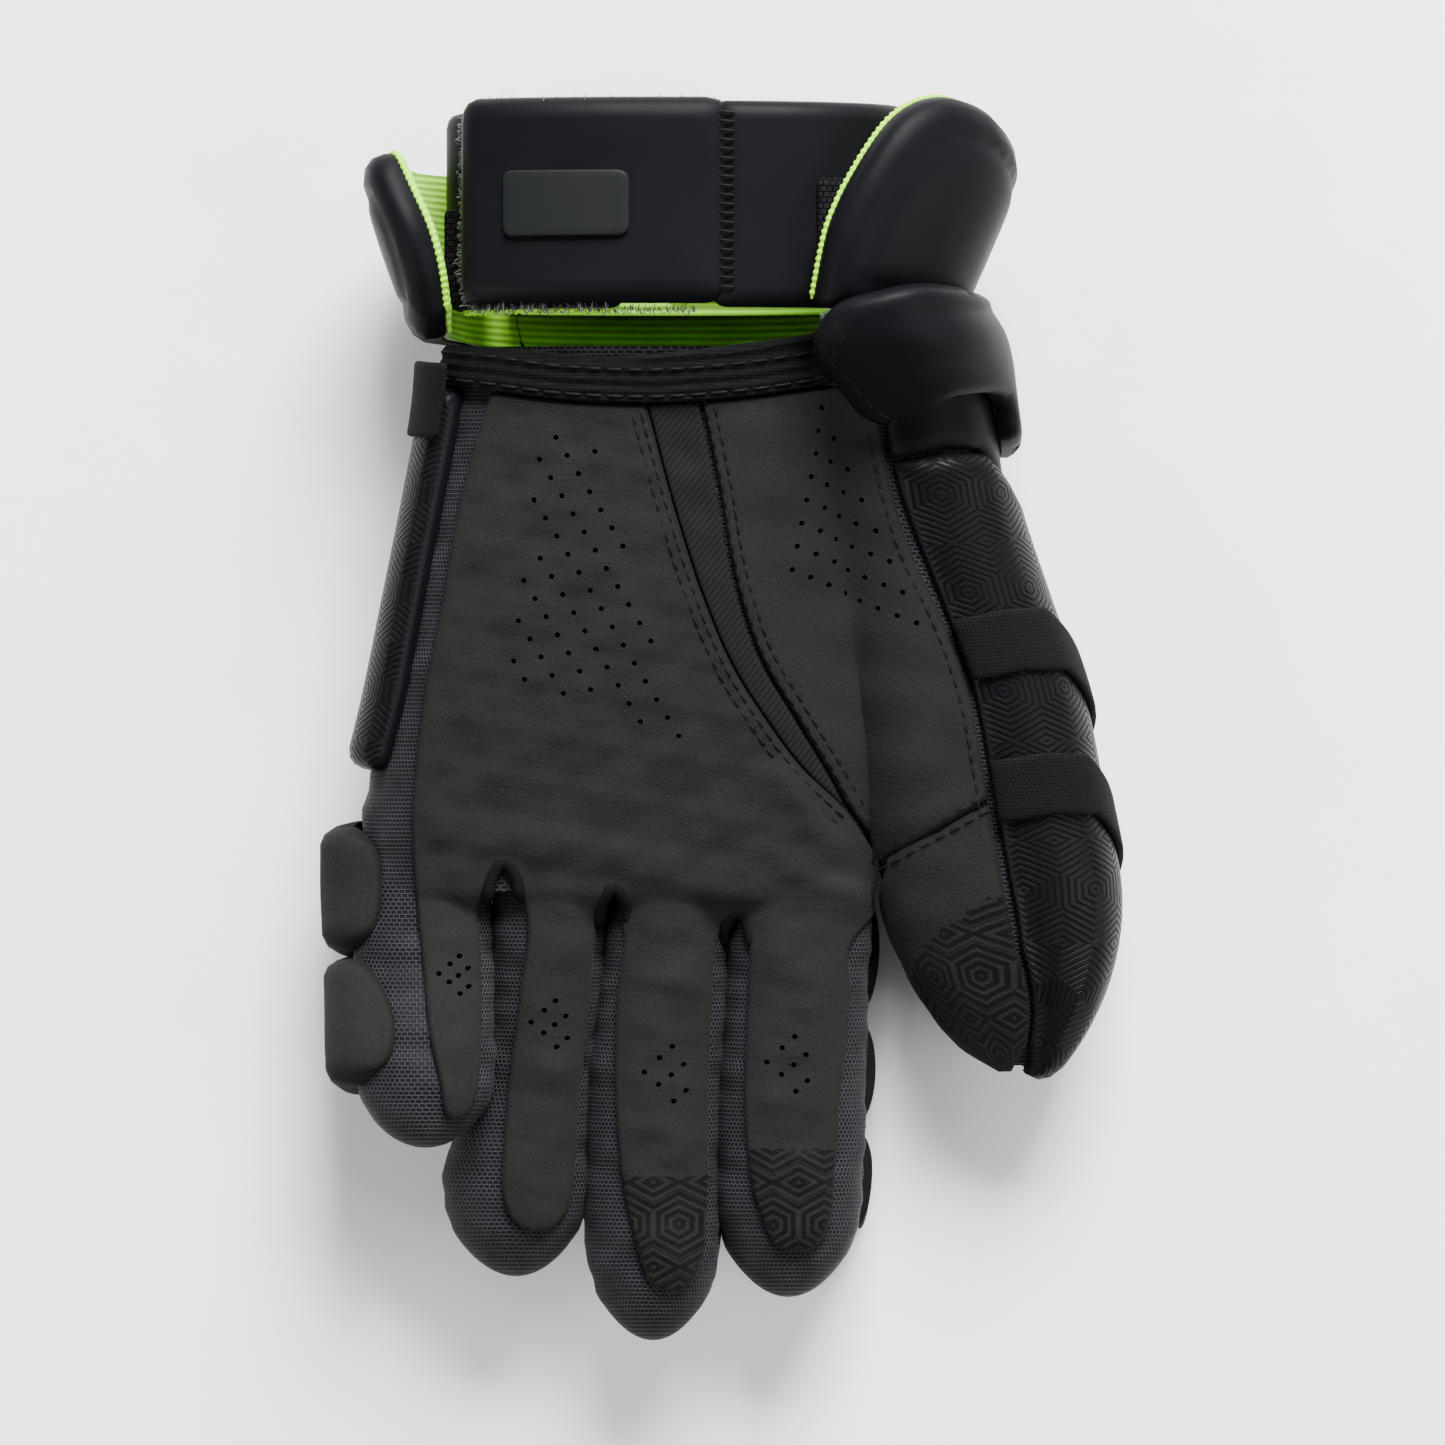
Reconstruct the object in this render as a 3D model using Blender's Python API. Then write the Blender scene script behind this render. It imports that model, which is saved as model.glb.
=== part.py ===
"""A left-hand lacrosse glove, lying on its padded back with the palm up.

+X points to the thumb side, +Y from the fingertips to the cuff, +Z out of the palm.
Everything is laid out in millimetres round the web line, where the fingers leave the
hand (Y = 0), and is centred over the floor at the end. A form is a smooth tube along Y,
like a shoemaker's last; each panel, pad and strap is a closed sheet set off from a form.
"""

import math

import bmesh
import bpy
import numpy as np
from mathutils import Vector
from mathutils.geometry import delaunay_2d_cdt

MM = 0.001

# How square the tubes are across: 2 is an ellipse, more is boxier
SQUARENESS = 2.3
# A panel's thickness at its very edge, as a share of its full one
RIM_SHARE = 0.5

# Clearances and cloth
GAP = 0.35
SEAT = 0.6
LAYER_GAP = 0.7
SHELL_WALL = 2.0
SUEDE = 1.5
LINING = 1.5
WEBBING = 1.6
BINDING = 2.6
FINGER_GAP = 1.1

# The hand
HAND_LENGTH = 143.0
HAND_DEPTH = 40.0
BACK_PAD = 16.0
EDGE_PAD = 6.5

# The fingers, in order from the little finger
PINKY_WIDTH = 35.5
RING_WIDTH = 30.0
MIDDLE_WIDTH = 30.5
INDEX_WIDTH = 37.0
PINKY_LENGTH = 68.0
RING_LENGTH = 103.0
MIDDLE_LENGTH = 120.0
INDEX_LENGTH = 108.5
FINGER_DEPTH = 30.0
PINKY_DEPTH = 26.0
FINGER_PAD = 15.0
PINKY_PAD = 9.0
TIP_ROUNDING = 0.26

# The thumb
THUMB_LENGTH = 193.0
THUMB_WIDTH = 57.0
THUMB_DEPTH = 46.0
THUMB_PAD = 7.0
THUMB_ROUNDING = 1.6
THUMB_ROUND_START = 0.715
THUMB_SLEEVE = 3.5

# The cuff and the wrist wrap in it
CUFF_LENGTH = 66.0
CUFF_WIDTH = 174.0
CUFF_HEIGHT = 92.0
CUFF_WALL = 8.0
WRAP_LENGTH = 54.0
WRAP_WIDTH = 120.0
WRAP_TOP = 70.0
WRAP_WALL = 5.5
WRAP_FLAP = 4.5
TAB_THICKNESS = 6.0
THUMB_STRAP = 6.0
LOOP_PILE = 1.2
BADGE = 0.9
FLOOR_SINK = 1.5

PALM_WIDTH = PINKY_WIDTH + RING_WIDTH + MIDDLE_WIDTH + INDEX_WIDTH + 3 * FINGER_GAP
PALM_LEFT = -98.2
CUFF_STACK = CUFF_WALL + LINING + 2 * GAP - FLOOR_SINK

# How the lanes of the fingers lean, away from the web line.
# Columns: share of the middle finger's length, then the shift of each boundary as a share
# of the palm's width: pinky left, pinky right, ring left, ring and middle, middle and
# index, index right.
LEAN = [
    (0.000, 0.000, 0.000, 0.000, 0.000, 0.000, 0.000),
    (0.242, 0.010, 0.000, -0.002, -0.019, -0.004, -0.012),
    (0.352, 0.013, 0.002, -0.014, -0.032, -0.010, -0.014),
    (0.462, 0.019, 0.000, -0.042, -0.041, -0.017, -0.016),
    (0.571, 0.021, -0.002, -0.080, -0.043, -0.019, -0.018),
    (0.681, 0.021, -0.002, -0.090, -0.043, -0.019, -0.023),
    (1.000, 0.021, -0.002, -0.084, -0.043, -0.016, -0.027),
]

# The hand, from the wrist edge (0) to the web line (1).
# Columns: share of its length, left and right edge as shares of the palm's width, lift of
# its underside as a share of the back pad, depth as a share of the hand's, squareness.
HAND_ROWS = [
    (0.00, 0.184, 0.974, 1.06, 1.16, 2.4),
    (0.10, 0.176, 0.985, 1.06, 1.08, 2.6),
    (0.28, 0.143, 1.000, 1.04, 1.03, 2.9),
    (0.46, 0.105, 1.010, 1.04, 0.99, 3.0),
    (0.65, 0.064, 1.012, 1.03, 0.93, 3.0),
    (0.83, 0.019, 1.010, 0.98, 0.86, 3.3),
    (1.00, 0.000, 1.000, 0.90, 0.81, 3.7),
]

# The rise of each finger towards its tip.
# Columns: share of its length, lift and depth as shares of the finger's depth.
STRAIGHT_LIFT = [(0.0, 0.00, 1.00), (0.5, 0.00, 0.98), (1.0, 0.08, 0.90)]
PINKY_LIFT = [(0.0, 0.12, 1.00), (0.3, 0.26, 1.00), (0.62, 0.62, 0.96), (1.0, 0.86, 0.90)]

# The thumb, from under the cuff (0) to its tip (1).
# Columns: share of its length, centre as a share of its width from the palm's right edge,
# half width as a share of its width, underside and top as shares of its depth.
THUMB_ROWS = [
    (0.00, 0.065, 0.405, 0.38, 1.35),
    (0.11, 0.105, 0.415, 0.33, 1.30),
    (0.21, 0.150, 0.420, 0.28, 1.26),
    (0.345, 0.275, 0.440, 0.23, 1.23),
    (0.48, 0.405, 0.470, 0.21, 1.21),
    (0.62, 0.487, 0.485, 0.21, 1.17),
    (0.70, 0.535, 0.492, 0.22, 1.14),
    (1.00, 0.655, 0.492, 0.34, 1.06),
]

# The cuff, from the hand (0) to its open end (1).
# Columns: share of its length, centre as a share of its width from the palm's middle,
# half width as a share of its width, top as a share of its height.
CUFF_ROWS = [
    (-0.07, 0.108, 0.400, 0.88),
    (0.02, 0.108, 0.412, 0.91),
    (0.19, 0.110, 0.434, 0.96),
    (0.39, 0.113, 0.464, 0.99),
    (0.59, 0.117, 0.490, 1.00),
    (0.73, 0.118, 0.500, 1.00),
    (1.00, 0.113, 0.498, 1.00),
]

# The palm leather on each finger.
# Columns: share of the finger's length, left and right edge across it, from -1 to 1.
STRIPS = {
    "pinky": [(0.06, -0.06, 0.84), (0.27, 0.00, 0.84), (0.55, 0.09, 0.84), (0.76, 0.26, 0.80)],
    "ring": [(0.07, -0.36, 0.82), (0.28, -0.44, 0.80), (0.54, -0.34, 0.82), (0.76, -0.18, 0.80)],
    "middle": [
        (0.10, -0.66, 0.82),
        (0.25, -0.68, 0.76),
        (0.46, -0.56, 0.80),
        (0.66, -0.42, 0.82),
        (0.79, -0.22, 0.78),
    ],
    "index": [
        (0.14, -0.67, 0.72),
        (0.27, -0.67, 0.77),
        (0.51, -0.63, 0.66),
        (0.70, -0.54, 0.62),
        (0.80, -0.38, 0.60),
    ],
}
# Columns: where the strip's round end lies along and across the finger.
STRIP_ENDS = {
    "pinky": (0.885, 0.56),
    "ring": (0.875, 0.42),
    "middle": (0.885, 0.40),
    "index": (0.880, 0.14),
}
# Columns: where each slit's round head lies, right of the lane boundary and above the
# web line, as shares of the palm's width.
SLIT_HEADS = [(0.031, 0.043), (0.016, -0.006), (0.023, -0.050)]

# Outlines on the palm. Columns: share of the palm's width from its left edge, share of
# the hand's length above the web line.
PALM_LEFT_EDGE = [
    (0.271, 0.915),
    (0.248, 0.849),
    (0.211, 0.720),
    (0.176, 0.535),
    (0.145, 0.387),
    (0.124, 0.240),
    (0.116, 0.110),
]
STRIP_LEFT_EDGE = [
    (0.953, 0.144),
    (0.862, 0.231),
    (0.785, 0.332),
    (0.727, 0.424),
    (0.678, 0.535),
    (0.645, 0.627),
    (0.610, 0.738),
    (0.568, 0.890),
]
STRIP_RIGHT_EDGE = [
    (0.953, 0.144),
    (0.911, 0.221),
    (0.853, 0.314),
    (0.785, 0.424),
    (0.746, 0.526),
    (0.721, 0.627),
    (0.702, 0.738),
    (0.669, 0.893),
]
CROTCH = (1.008, -0.040)
CREASE_END = (1.016, 0.041)
THUMB_SEAM_START = (1.040, 0.060)
THENAR_CORNER = (0.940, 0.925)
BINDING_LOWER = [
    (0.175, 0.932),
    (0.271, 0.922),
    (0.407, 0.905),
    (0.581, 0.899),
    (0.756, 0.911),
    (0.930, 0.935),
]
BINDING_UPPER = [
    (0.915, 1.030),
    (0.795, 1.011),
    (0.640, 0.993),
    (0.484, 0.983),
    (0.329, 0.996),
    (0.190, 1.006),
]

# Cuff panels. Columns: angle round the form in degrees, share of the cuff's length.
WING_THUMB = [
    (64.5, 0.13),
    (65, 0.48),
    (60.5, 0.73),
    (52, 0.91),
    (40, 0.985),
    (24, 0.95),
    (8, 0.84),
    (-8, 0.74),
    (-24, 0.70),
]
WING_PINKY = [(158, 0.10), (152, 0.32), (153, 0.52), (163, 0.74), (176, 0.76), (190, 0.72), (205, 0.70)]
# The webbing tab over the upper end of the edge pad, in degrees round the hand
SIDE_TAB_LOW = 152.0
SIDE_TAB_HIGH = 196.0
BACK_LOW_ANGLE = 232.0
BACK_HIGH_ANGLE = 308.0
# Where the wrist wrap's right panel ends under its tab, in degrees round the wrap
WRAP_SEAM = 75.0
FLARE_TOP = 0.70
BACK_TOP = 0.90

# How the joints in the thumb's padding run round it.
# Columns: angle in degrees, shift along the thumb as a share of its length.
THUMB_SWEEP = [(-80, -0.125), (-40, -0.103), (0, -0.050), (30, 0.010), (60, 0.016), (95, 0.0)]
# Where the joints start on the palm side, as shares of the thumb's length from its root.
SLEEVE_END = 0.155
UPPER_JOINT = 0.420
MIDDLE_JOINT = 0.612
BAND_HALF_WIDTH = 0.042
THUMB_BACK_ANGLE = -78.0
# The seam between the thumb's leather and its padding.
# Columns: share of the thumb's length, angle in degrees.
THUMB_SEAM = [
    (0.06, 96),
    (0.16, 92),
    (0.30, 88),
    (0.38, 84),
    (0.57, 82),
    (0.71, 82),
    (0.84, 77),
    (0.92, 66),
    (1.0, 58),
]
# Where the thumb strap runs, on the palm's grid: its free end and its lower edge, then its
# upper edge back.
STRAP_LOWER = [
    (0.905, 1.005),
    (0.950, 0.930),
    (1.012, 0.860),
    (1.075, 0.880),
    (1.160, 0.920),
    (1.235, 0.905),
]
STRAP_UPPER = [(1.195, 1.100), (1.100, 1.108), (1.005, 1.092), (0.918, 1.058)]
STRAP_SIDE = [(0.830, 8.0), (0.820, -28.0), (1.070, -28.0), (1.090, 8.0)]

SUEDE_GREY = (0.048, 0.048, 0.047)
MESH_BLACK = (0.012, 0.012, 0.014)
PAD_BLACK = (0.014, 0.014, 0.018)
SMOOTH_BLACK = (0.018, 0.018, 0.020)
WEB_BLACK = (0.010, 0.010, 0.010)
LINING_GREEN = (0.16, 0.42, 0.01)


def smooth(at, table_at, table):
    """A smooth curve through a table's values, flat beyond its ends."""
    table_at, table = np.asarray(table_at, float), np.asarray(table, float)
    at = np.clip(np.asarray(at, float), table_at[0], table_at[-1])
    slopes = np.gradient(table, table_at)
    i = np.clip(np.searchsorted(table_at, at) - 1, 0, len(table_at) - 2)
    span = table_at[i + 1] - table_at[i]
    t = (at - table_at[i]) / span
    return (
        table[i] * (1 + 2 * t) * (1 - t) ** 2
        + slopes[i] * span * t * (1 - t) ** 2
        + table[i + 1] * t * t * (3 - 2 * t)
        + slopes[i + 1] * span * t * t * (t - 1)
    )


def column(rows, number):
    return np.array([row[number] for row in rows], float)


class Form:
    """A tube along Y whose cross-section is a superellipse, with a rounded tip if it has one."""

    def __init__(self, y, centre_x, low, high, half_width, power, tip=None, grow=0.0):
        order = np.argsort(y)
        self.y = np.asarray(y, float)[order]
        rows = [centre_x, (low + high) / 2, half_width, (high - low) / 2, power * np.ones(len(y))]
        self.table = np.array(rows)[:, order]
        self.tip = tip
        self.grow = grow

    def grown(self, by):
        """The same form with its walls moved out by so much."""
        made = Form(self.y, *self.table[[0, 1, 1, 2, 4]], tip=self.tip, grow=self.grow + by)
        made.table = self.table
        return made

    def section(self, y):
        """Centre x and z, half width, half height and squareness at y."""
        x, z, half_width, half_height, power = (smooth(y, self.y, row) for row in self.table)
        half_width, half_height = half_width + self.grow, half_height + self.grow
        if self.tip:
            start, end, sharpness = self.tip
            share = np.clip((start - np.asarray(y, float)) / (start - end + self.grow), 0, 1)
            narrowing = np.maximum(1 - share**2, 1e-6) ** (sharpness / 2)
            half_width, half_height = half_width * narrowing, half_height * narrowing
        return x, z, half_width, half_height, power

    def around(self, angle, y, offset=0.0):
        """Points at an angle in degrees round the form, 0 at +X and 90 at +Z, set off from it."""
        angle, y = np.radians(np.asarray(angle, float)), np.asarray(y, float)
        x, z, half_width, half_height, power = self.section(y)
        c, s = np.cos(angle), np.sin(angle)
        unit_x = np.sign(c) * np.abs(c) ** (2 / power)
        unit_z = np.sign(s) * np.abs(s) ** (2 / power)
        step = 0.25
        above, below = self.section(y + step), self.section(y - step)
        slope_x, slope_z, slope_w, slope_h = ((a - b) / (2 * step) for a, b in zip(above[:4], below[:4]))
        normal_x = np.sign(unit_x) * np.abs(unit_x) ** (power - 1) / half_width
        normal_z = np.sign(unit_z) * np.abs(unit_z) ** (power - 1) / half_height
        normal_y = -(normal_x * (slope_x + unit_x * slope_w) + normal_z * (slope_z + unit_z * slope_h))
        points = np.stack([x + half_width * unit_x, y + 0 * unit_x, z + half_height * unit_z], -1)
        normal = np.stack([normal_x, normal_y, normal_z], -1)
        normal /= np.linalg.norm(normal, axis=-1, keepdims=True)
        return points + normal * np.asarray(offset, float)[..., None]

    def top(self, x, y):
        """The height of the form's upper side over a point of the floor."""
        centre, z, half_width, half_height, power = self.section(y)
        across = np.clip(np.abs((x - centre) / half_width), 0, 0.985)
        return z + half_height * (1 - across**power) ** (1 / power)

    def at_across(self, across, y):
        """The x that lies so far across the form, from -1 at its left to 1 at its right."""
        centre, _, half_width, _, _ = self.section(y)
        return centre + across * half_width


def finger_lanes():
    """For each finger, its name, its length, and its left and right edge as functions of y."""
    starts = [PALM_LEFT]
    for width in (PINKY_WIDTH, RING_WIDTH, MIDDLE_WIDTH):
        starts.append(starts[-1] + width + FINGER_GAP)
    names = ["pinky", "ring", "middle", "index"]
    widths = [PINKY_WIDTH, RING_WIDTH, MIDDLE_WIDTH, INDEX_WIDTH]
    lengths = [PINKY_LENGTH, RING_LENGTH, MIDDLE_LENGTH, INDEX_LENGTH]
    lean_columns = [(1, 2), (3, 4), (4, 5), (5, 6)]
    depth = column(LEAN, 0) * MIDDLE_LENGTH

    def edge(start, number):
        return lambda y: start + PALM_WIDTH * smooth(-np.asarray(y, float), depth, column(LEAN, number))

    return {
        name: (length, edge(start, columns[0]), edge(start + width, columns[1]))
        for name, start, width, length, columns in zip(names, starts, widths, lengths, lean_columns)
    }


LANES = finger_lanes()


def finger_form(name):
    length, left, right = LANES[name]
    rows = PINKY_LIFT if name == "pinky" else STRAIGHT_LIFT
    depth = PINKY_DEPTH if name == "pinky" else FINGER_DEPTH
    share = np.linspace(-0.2, 1, 13)
    y = -share * length
    low = FINGER_PAD + SEAT + depth * smooth(share, column(rows, 0), column(rows, 1))
    high = low + depth * smooth(share, column(rows, 0), column(rows, 2))
    tip = (-(1 - TIP_ROUNDING) * length, -length, 1.0)
    return Form(y, (left(y) + right(y)) / 2, low, high, (right(y) - left(y)) / 2, SQUARENESS, tip)


def hand_form():
    share = column(HAND_ROWS, 0)
    left = PALM_LEFT + PALM_WIDTH * column(HAND_ROWS, 1)
    right = PALM_LEFT + PALM_WIDTH * column(HAND_ROWS, 2)
    low = BACK_PAD * column(HAND_ROWS, 3)
    high = low + HAND_DEPTH * column(HAND_ROWS, 4)
    y = HAND_LENGTH * (1 - share)
    return Form(y, (left + right) / 2, low, high, (right - left) / 2, column(HAND_ROWS, 5))


def thumb_y(share):
    """Y at a share of the thumb's length from its root."""
    return HAND_LENGTH - share * THUMB_LENGTH


def thumb_seam(y):
    """The angle of the seam between the thumb's leather and its padding."""
    share = (HAND_LENGTH - np.asarray(y, float)) / THUMB_LENGTH
    return smooth(share, column(THUMB_SEAM, 0), column(THUMB_SEAM, 1))


def thumb_form():
    centre = PALM_LEFT + PALM_WIDTH + THUMB_WIDTH * column(THUMB_ROWS, 1)
    low, high = THUMB_DEPTH * column(THUMB_ROWS, 3), THUMB_DEPTH * column(THUMB_ROWS, 4)
    half_width = THUMB_WIDTH * column(THUMB_ROWS, 2)
    tip = (thumb_y(THUMB_ROUND_START), thumb_y(1.0), THUMB_ROUNDING)
    return Form(thumb_y(column(THUMB_ROWS, 0)), centre, low, high, half_width, SQUARENESS, tip)


def cuff_y(share):
    """Y at a share of the cuff's length from the wrist edge."""
    return HAND_LENGTH + share * CUFF_LENGTH


def cuff_form():
    centre = PALM_LEFT + PALM_WIDTH / 2 + CUFF_WIDTH * column(CUFF_ROWS, 1)
    half_width = CUFF_WIDTH * column(CUFF_ROWS, 2)
    low = -FLOOR_SINK * np.ones(len(CUFF_ROWS))
    high = CUFF_HEIGHT * column(CUFF_ROWS, 3)
    return Form(cuff_y(column(CUFF_ROWS, 0)), centre, low, high, half_width, SQUARENESS)


def wrap_form():
    """The face between the wrist wrap's inner and outer layers."""
    y = cuff_y(np.array([0.0, 0.5, 1.0]))
    centre = PALM_LEFT + PALM_WIDTH / 2 + 0.078 * CUFF_WIDTH
    low = CUFF_STACK + WRAP_WALL + 4 * LAYER_GAP
    flat = np.ones(3)
    return Form(y, centre * flat, low * flat, WRAP_TOP * flat, WRAP_WIDTH / 2 * flat, SQUARENESS)


HAND = hand_form()
THUMB = thumb_form()
FINGERS = {name: finger_form(name) for name in LANES}
CUFF = cuff_form()
WRAP = wrap_form()


def soft_max(a, b, reach=5.0):
    return np.maximum(a, b) + np.maximum(reach - np.abs(a - b), 0) ** 2 / (4 * reach)


def palm_height(x, y):
    """The height of the palm side over a point of the floor: hand, fingers and thumb blended."""
    fade = 0.7
    height = HAND.top(x, np.maximum(y, 0)) - fade * np.maximum(-y, 0)
    for name, form in FINGERS.items():
        centre, _, half_width, _, _ = form.section(y)
        outside = np.maximum(np.abs(x - centre) - half_width, 0)
        inside_lane = form.top(x, np.minimum(y, 0)) - fade * np.maximum(y, 0) - 6 * outside
        height = soft_max(height, inside_lane, 2.0)
    centre, _, half_width, _, _ = THUMB.section(y)
    outside = np.maximum(np.abs(x - centre) - half_width, 0)
    return soft_max(height, THUMB.top(x, y) - 3 * outside, 6.0)


def palm_slope(x, y):
    """The palm side's height over a point of the floor, and its slopes along x and y."""
    step = 0.6
    slope_x = (palm_height(x + step, y) - palm_height(x - step, y)) / (2 * step)
    slope_y = (palm_height(x, y + step) - palm_height(x, y - step)) / (2 * step)
    return palm_height(x, y), np.clip(slope_x, -2.2, 2.2), np.clip(slope_y, -2.2, 2.2)


def on_palm(x, y, offset):
    """Points set off from the palm side, square to it."""
    height, slope_x, slope_y = palm_slope(x, y)
    normal = np.stack([-slope_x, -slope_y, np.ones_like(x)], -1)
    normal /= np.linalg.norm(normal, axis=-1, keepdims=True)
    return np.stack([x, y, height], -1) + normal * np.asarray(offset, float)[..., None]


def palm_points(shares):
    """Outline points on the palm, from shares of its width and of the hand's length."""
    return [(PALM_LEFT + PALM_WIDTH * u, HAND_LENGTH * v) for u, v in shares]


def curved(points, step, closed=False):
    """Points about a step apart on a smooth curve through the given ones."""
    points = np.array(points, float)
    if closed:
        points = np.vstack([points[-1], points, points[:2]])
    else:
        points = np.vstack([2 * points[0] - points[1], points, 2 * points[-1] - points[-2]])
    made = []
    for a, b, c, d in zip(points, points[1:], points[2:], points[3:]):
        count = max(1, round(np.linalg.norm(c - b) / step))
        for t in np.arange(count) / count:
            square, cube = 2 * a - 5 * b + 4 * c - d, 3 * b - a - 3 * c + d
            made.append(0.5 * (2 * b + (c - a) * t + square * t**2 + cube * t**3))
    if not closed:
        made.append(points[-2])
    return [tuple(p) for p in made]


def rounded_box(left, right, low, high, radius, step=30.0):
    """A rectangle's outline with round corners, the straight sides cut at most a step apart."""
    made = []
    corners = [(right, high, 0), (left, high, 90), (left, low, 180), (right, low, 270)]
    for x, y, turn in corners:
        cx = x - radius if x == right else x + radius
        cy = y - radius if y == high else y + radius
        for angle in np.radians([turn, turn + 30, turn + 60, turn + 90]):
            made.append((cx + radius * math.cos(angle), cy + radius * math.sin(angle)))
    return split_sides(made, step)


def split_sides(points, step):
    """The same outline with its long sides cut into lengths of at most a step."""
    made = []
    for (x0, y0), (x1, y1) in zip(points, points[1:] + points[:1]):
        count = max(1, math.ceil(math.hypot(x1 - x0, y1 - y0) / step))
        made += [(x0 + (x1 - x0) * i / count, y0 + (y1 - y0) * i / count) for i in range(count)]
    return made


def distance_to(outline, points):
    """How far each point lies from a closed outline."""
    a = np.array(outline, float)
    b = np.roll(a, -1, axis=0)
    side = b - a
    rel = points[:, None, :] - a[None]
    t = np.clip((rel * side).sum(-1) / np.maximum((side**2).sum(-1), 1e-12), 0, 1)
    return np.sqrt(((rel - t[..., None] * side) ** 2).sum(-1)).min(1)


def inside(outline, points):
    """Whether each point lies inside a closed outline."""
    a = np.array(outline, float)
    b = np.roll(a, -1, axis=0)
    found = np.zeros(len(points), bool)
    for (ax, ay), (bx, by) in zip(a, b):
        crosses = (ay > points[:, 1]) != (by > points[:, 1])
        with np.errstate(divide="ignore", invalid="ignore"):
            at = ax + (points[:, 1] - ay) * (bx - ax) / (by - ay)
        found ^= crosses & (points[:, 0] < at)
    return found


def filled(outline, spacing, edge):
    """Triangles that fill an outline, with points on a grid and in a ring one edge width in."""
    corners = np.array(outline, float)
    low, high = corners.min(0), corners.max(0)
    rows = np.arange(low[1] + spacing / 2, high[1], spacing * 0.87)
    across = np.arange(low[0], high[0], spacing)
    grid = [(x + spacing / 2 * (i % 2), y) for i, y in enumerate(rows) for x in across]
    side = np.roll(corners, -1, 0) - np.roll(corners, 1, 0)
    inward = np.stack([-side[:, 1], side[:, 0]], -1)
    inward /= np.maximum(np.linalg.norm(side, axis=1, keepdims=True), 1e-9)
    if (corners[:, 0] * np.roll(corners[:, 1], -1) - corners[:, 1] * np.roll(corners[:, 0], -1)).sum() < 0:
        inward = -inward
    ring = corners + inward * edge
    ring = ring[inside(outline, ring) & (distance_to(outline, ring) > 0.9 * edge)]
    kept = []
    for point in ring:
        if all(math.dist(point, other) > 0.6 * spacing for other in kept):
            kept.append(tuple(point))
    grid = np.array(grid, float).reshape(-1, 2)
    if len(grid):
        clear = inside(outline, grid)
        grid = grid[clear]
        grid = grid[distance_to(outline, grid) > edge + 0.35 * spacing]
    points = [Vector(p) for p in list(map(tuple, corners)) + kept + list(map(tuple, grid))]
    count = len(corners)
    sides = [(i, (i + 1) % count) for i in range(count)]
    found = delaunay_2d_cdt(points, sides, [list(range(count))], 1, 1e-6)
    return np.array([tuple(v) for v in found[0]]), [tuple(f) for f in found[2]]


def material(name, colour, roughness):
    made = bpy.data.materials.get(name)
    if made is None:
        made = bpy.data.materials.new(name)
        made.use_nodes = True
        surface = made.node_tree.nodes["Principled BSDF"]
        surface.inputs["Base Color"].default_value = (*colour, 1)
        surface.inputs["Roughness"].default_value = roughness
        surface.inputs["Metallic"].default_value = 0.0
    return made


SUEDE_CLOTH = ("suede", SUEDE_GREY, 0.9)
MESH_CLOTH = ("mesh", MESH_BLACK, 0.85)
PAD_CLOTH = ("textured_cover", PAD_BLACK, 0.45)
SMOOTH_CLOTH = ("smooth_cover", SMOOTH_BLACK, 0.55)
WEB_CLOTH = ("webbing", WEB_BLACK, 0.85)
GREEN_CLOTH = ("lining", LINING_GREEN, 0.8)
RUBBER = ("rubber", (0.035, 0.038, 0.038), 0.5)


def add_object(name, points, faces, finish):
    """A closed mesh from points in millimetres, its faces turned outwards."""
    mesh = bpy.data.meshes.new(name)
    mesh.from_pydata([tuple(p) for p in np.asarray(points) * MM], [], faces)
    work = bmesh.new()
    work.from_mesh(mesh)
    bmesh.ops.recalc_face_normals(work, faces=work.faces)
    if work.calc_volume(signed=True) < 0:
        bmesh.ops.reverse_faces(work, faces=work.faces)
    work.to_mesh(mesh)
    work.free()
    mesh.shade_smooth()
    mesh.set_sharp_from_angle(angle=math.radians(40))
    made = bpy.data.objects.new(name, mesh)
    bpy.context.scene.collection.objects.link(made)
    mesh.materials.append(material(*finish))
    return made


def chord_lift(flat, faces, place, start):
    """How far each point must rise so that no flat facet dips into the form under it."""
    ends = np.array(sorted({tuple(sorted((f[i], f[(i + 1) % 3]))) for f in faces for i in range(3)}))
    a, b = ends[:, 0], ends[:, 1]
    placed = place(flat, start)
    middle, mean = (flat[a] + flat[b]) / 2, (start[a] + start[b]) / 2
    true_middle = place(middle, mean)
    outward = place(middle, mean + 1.0) - true_middle
    dip = ((true_middle - (placed[a] + placed[b]) / 2) * outward).sum(1)
    least = np.zeros(len(flat))
    np.maximum.at(least, a, 1.2 * dip)
    np.maximum.at(least, b, 1.2 * dip)
    lift = least
    neighbours = np.bincount(np.concatenate([a, b]), minlength=len(flat))
    for _ in range(40):
        total = np.zeros(len(flat))
        np.add.at(total, a, lift[b])
        np.add.at(total, b, lift[a])
        lift = np.maximum(least, total / neighbours)
    return lift


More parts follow.
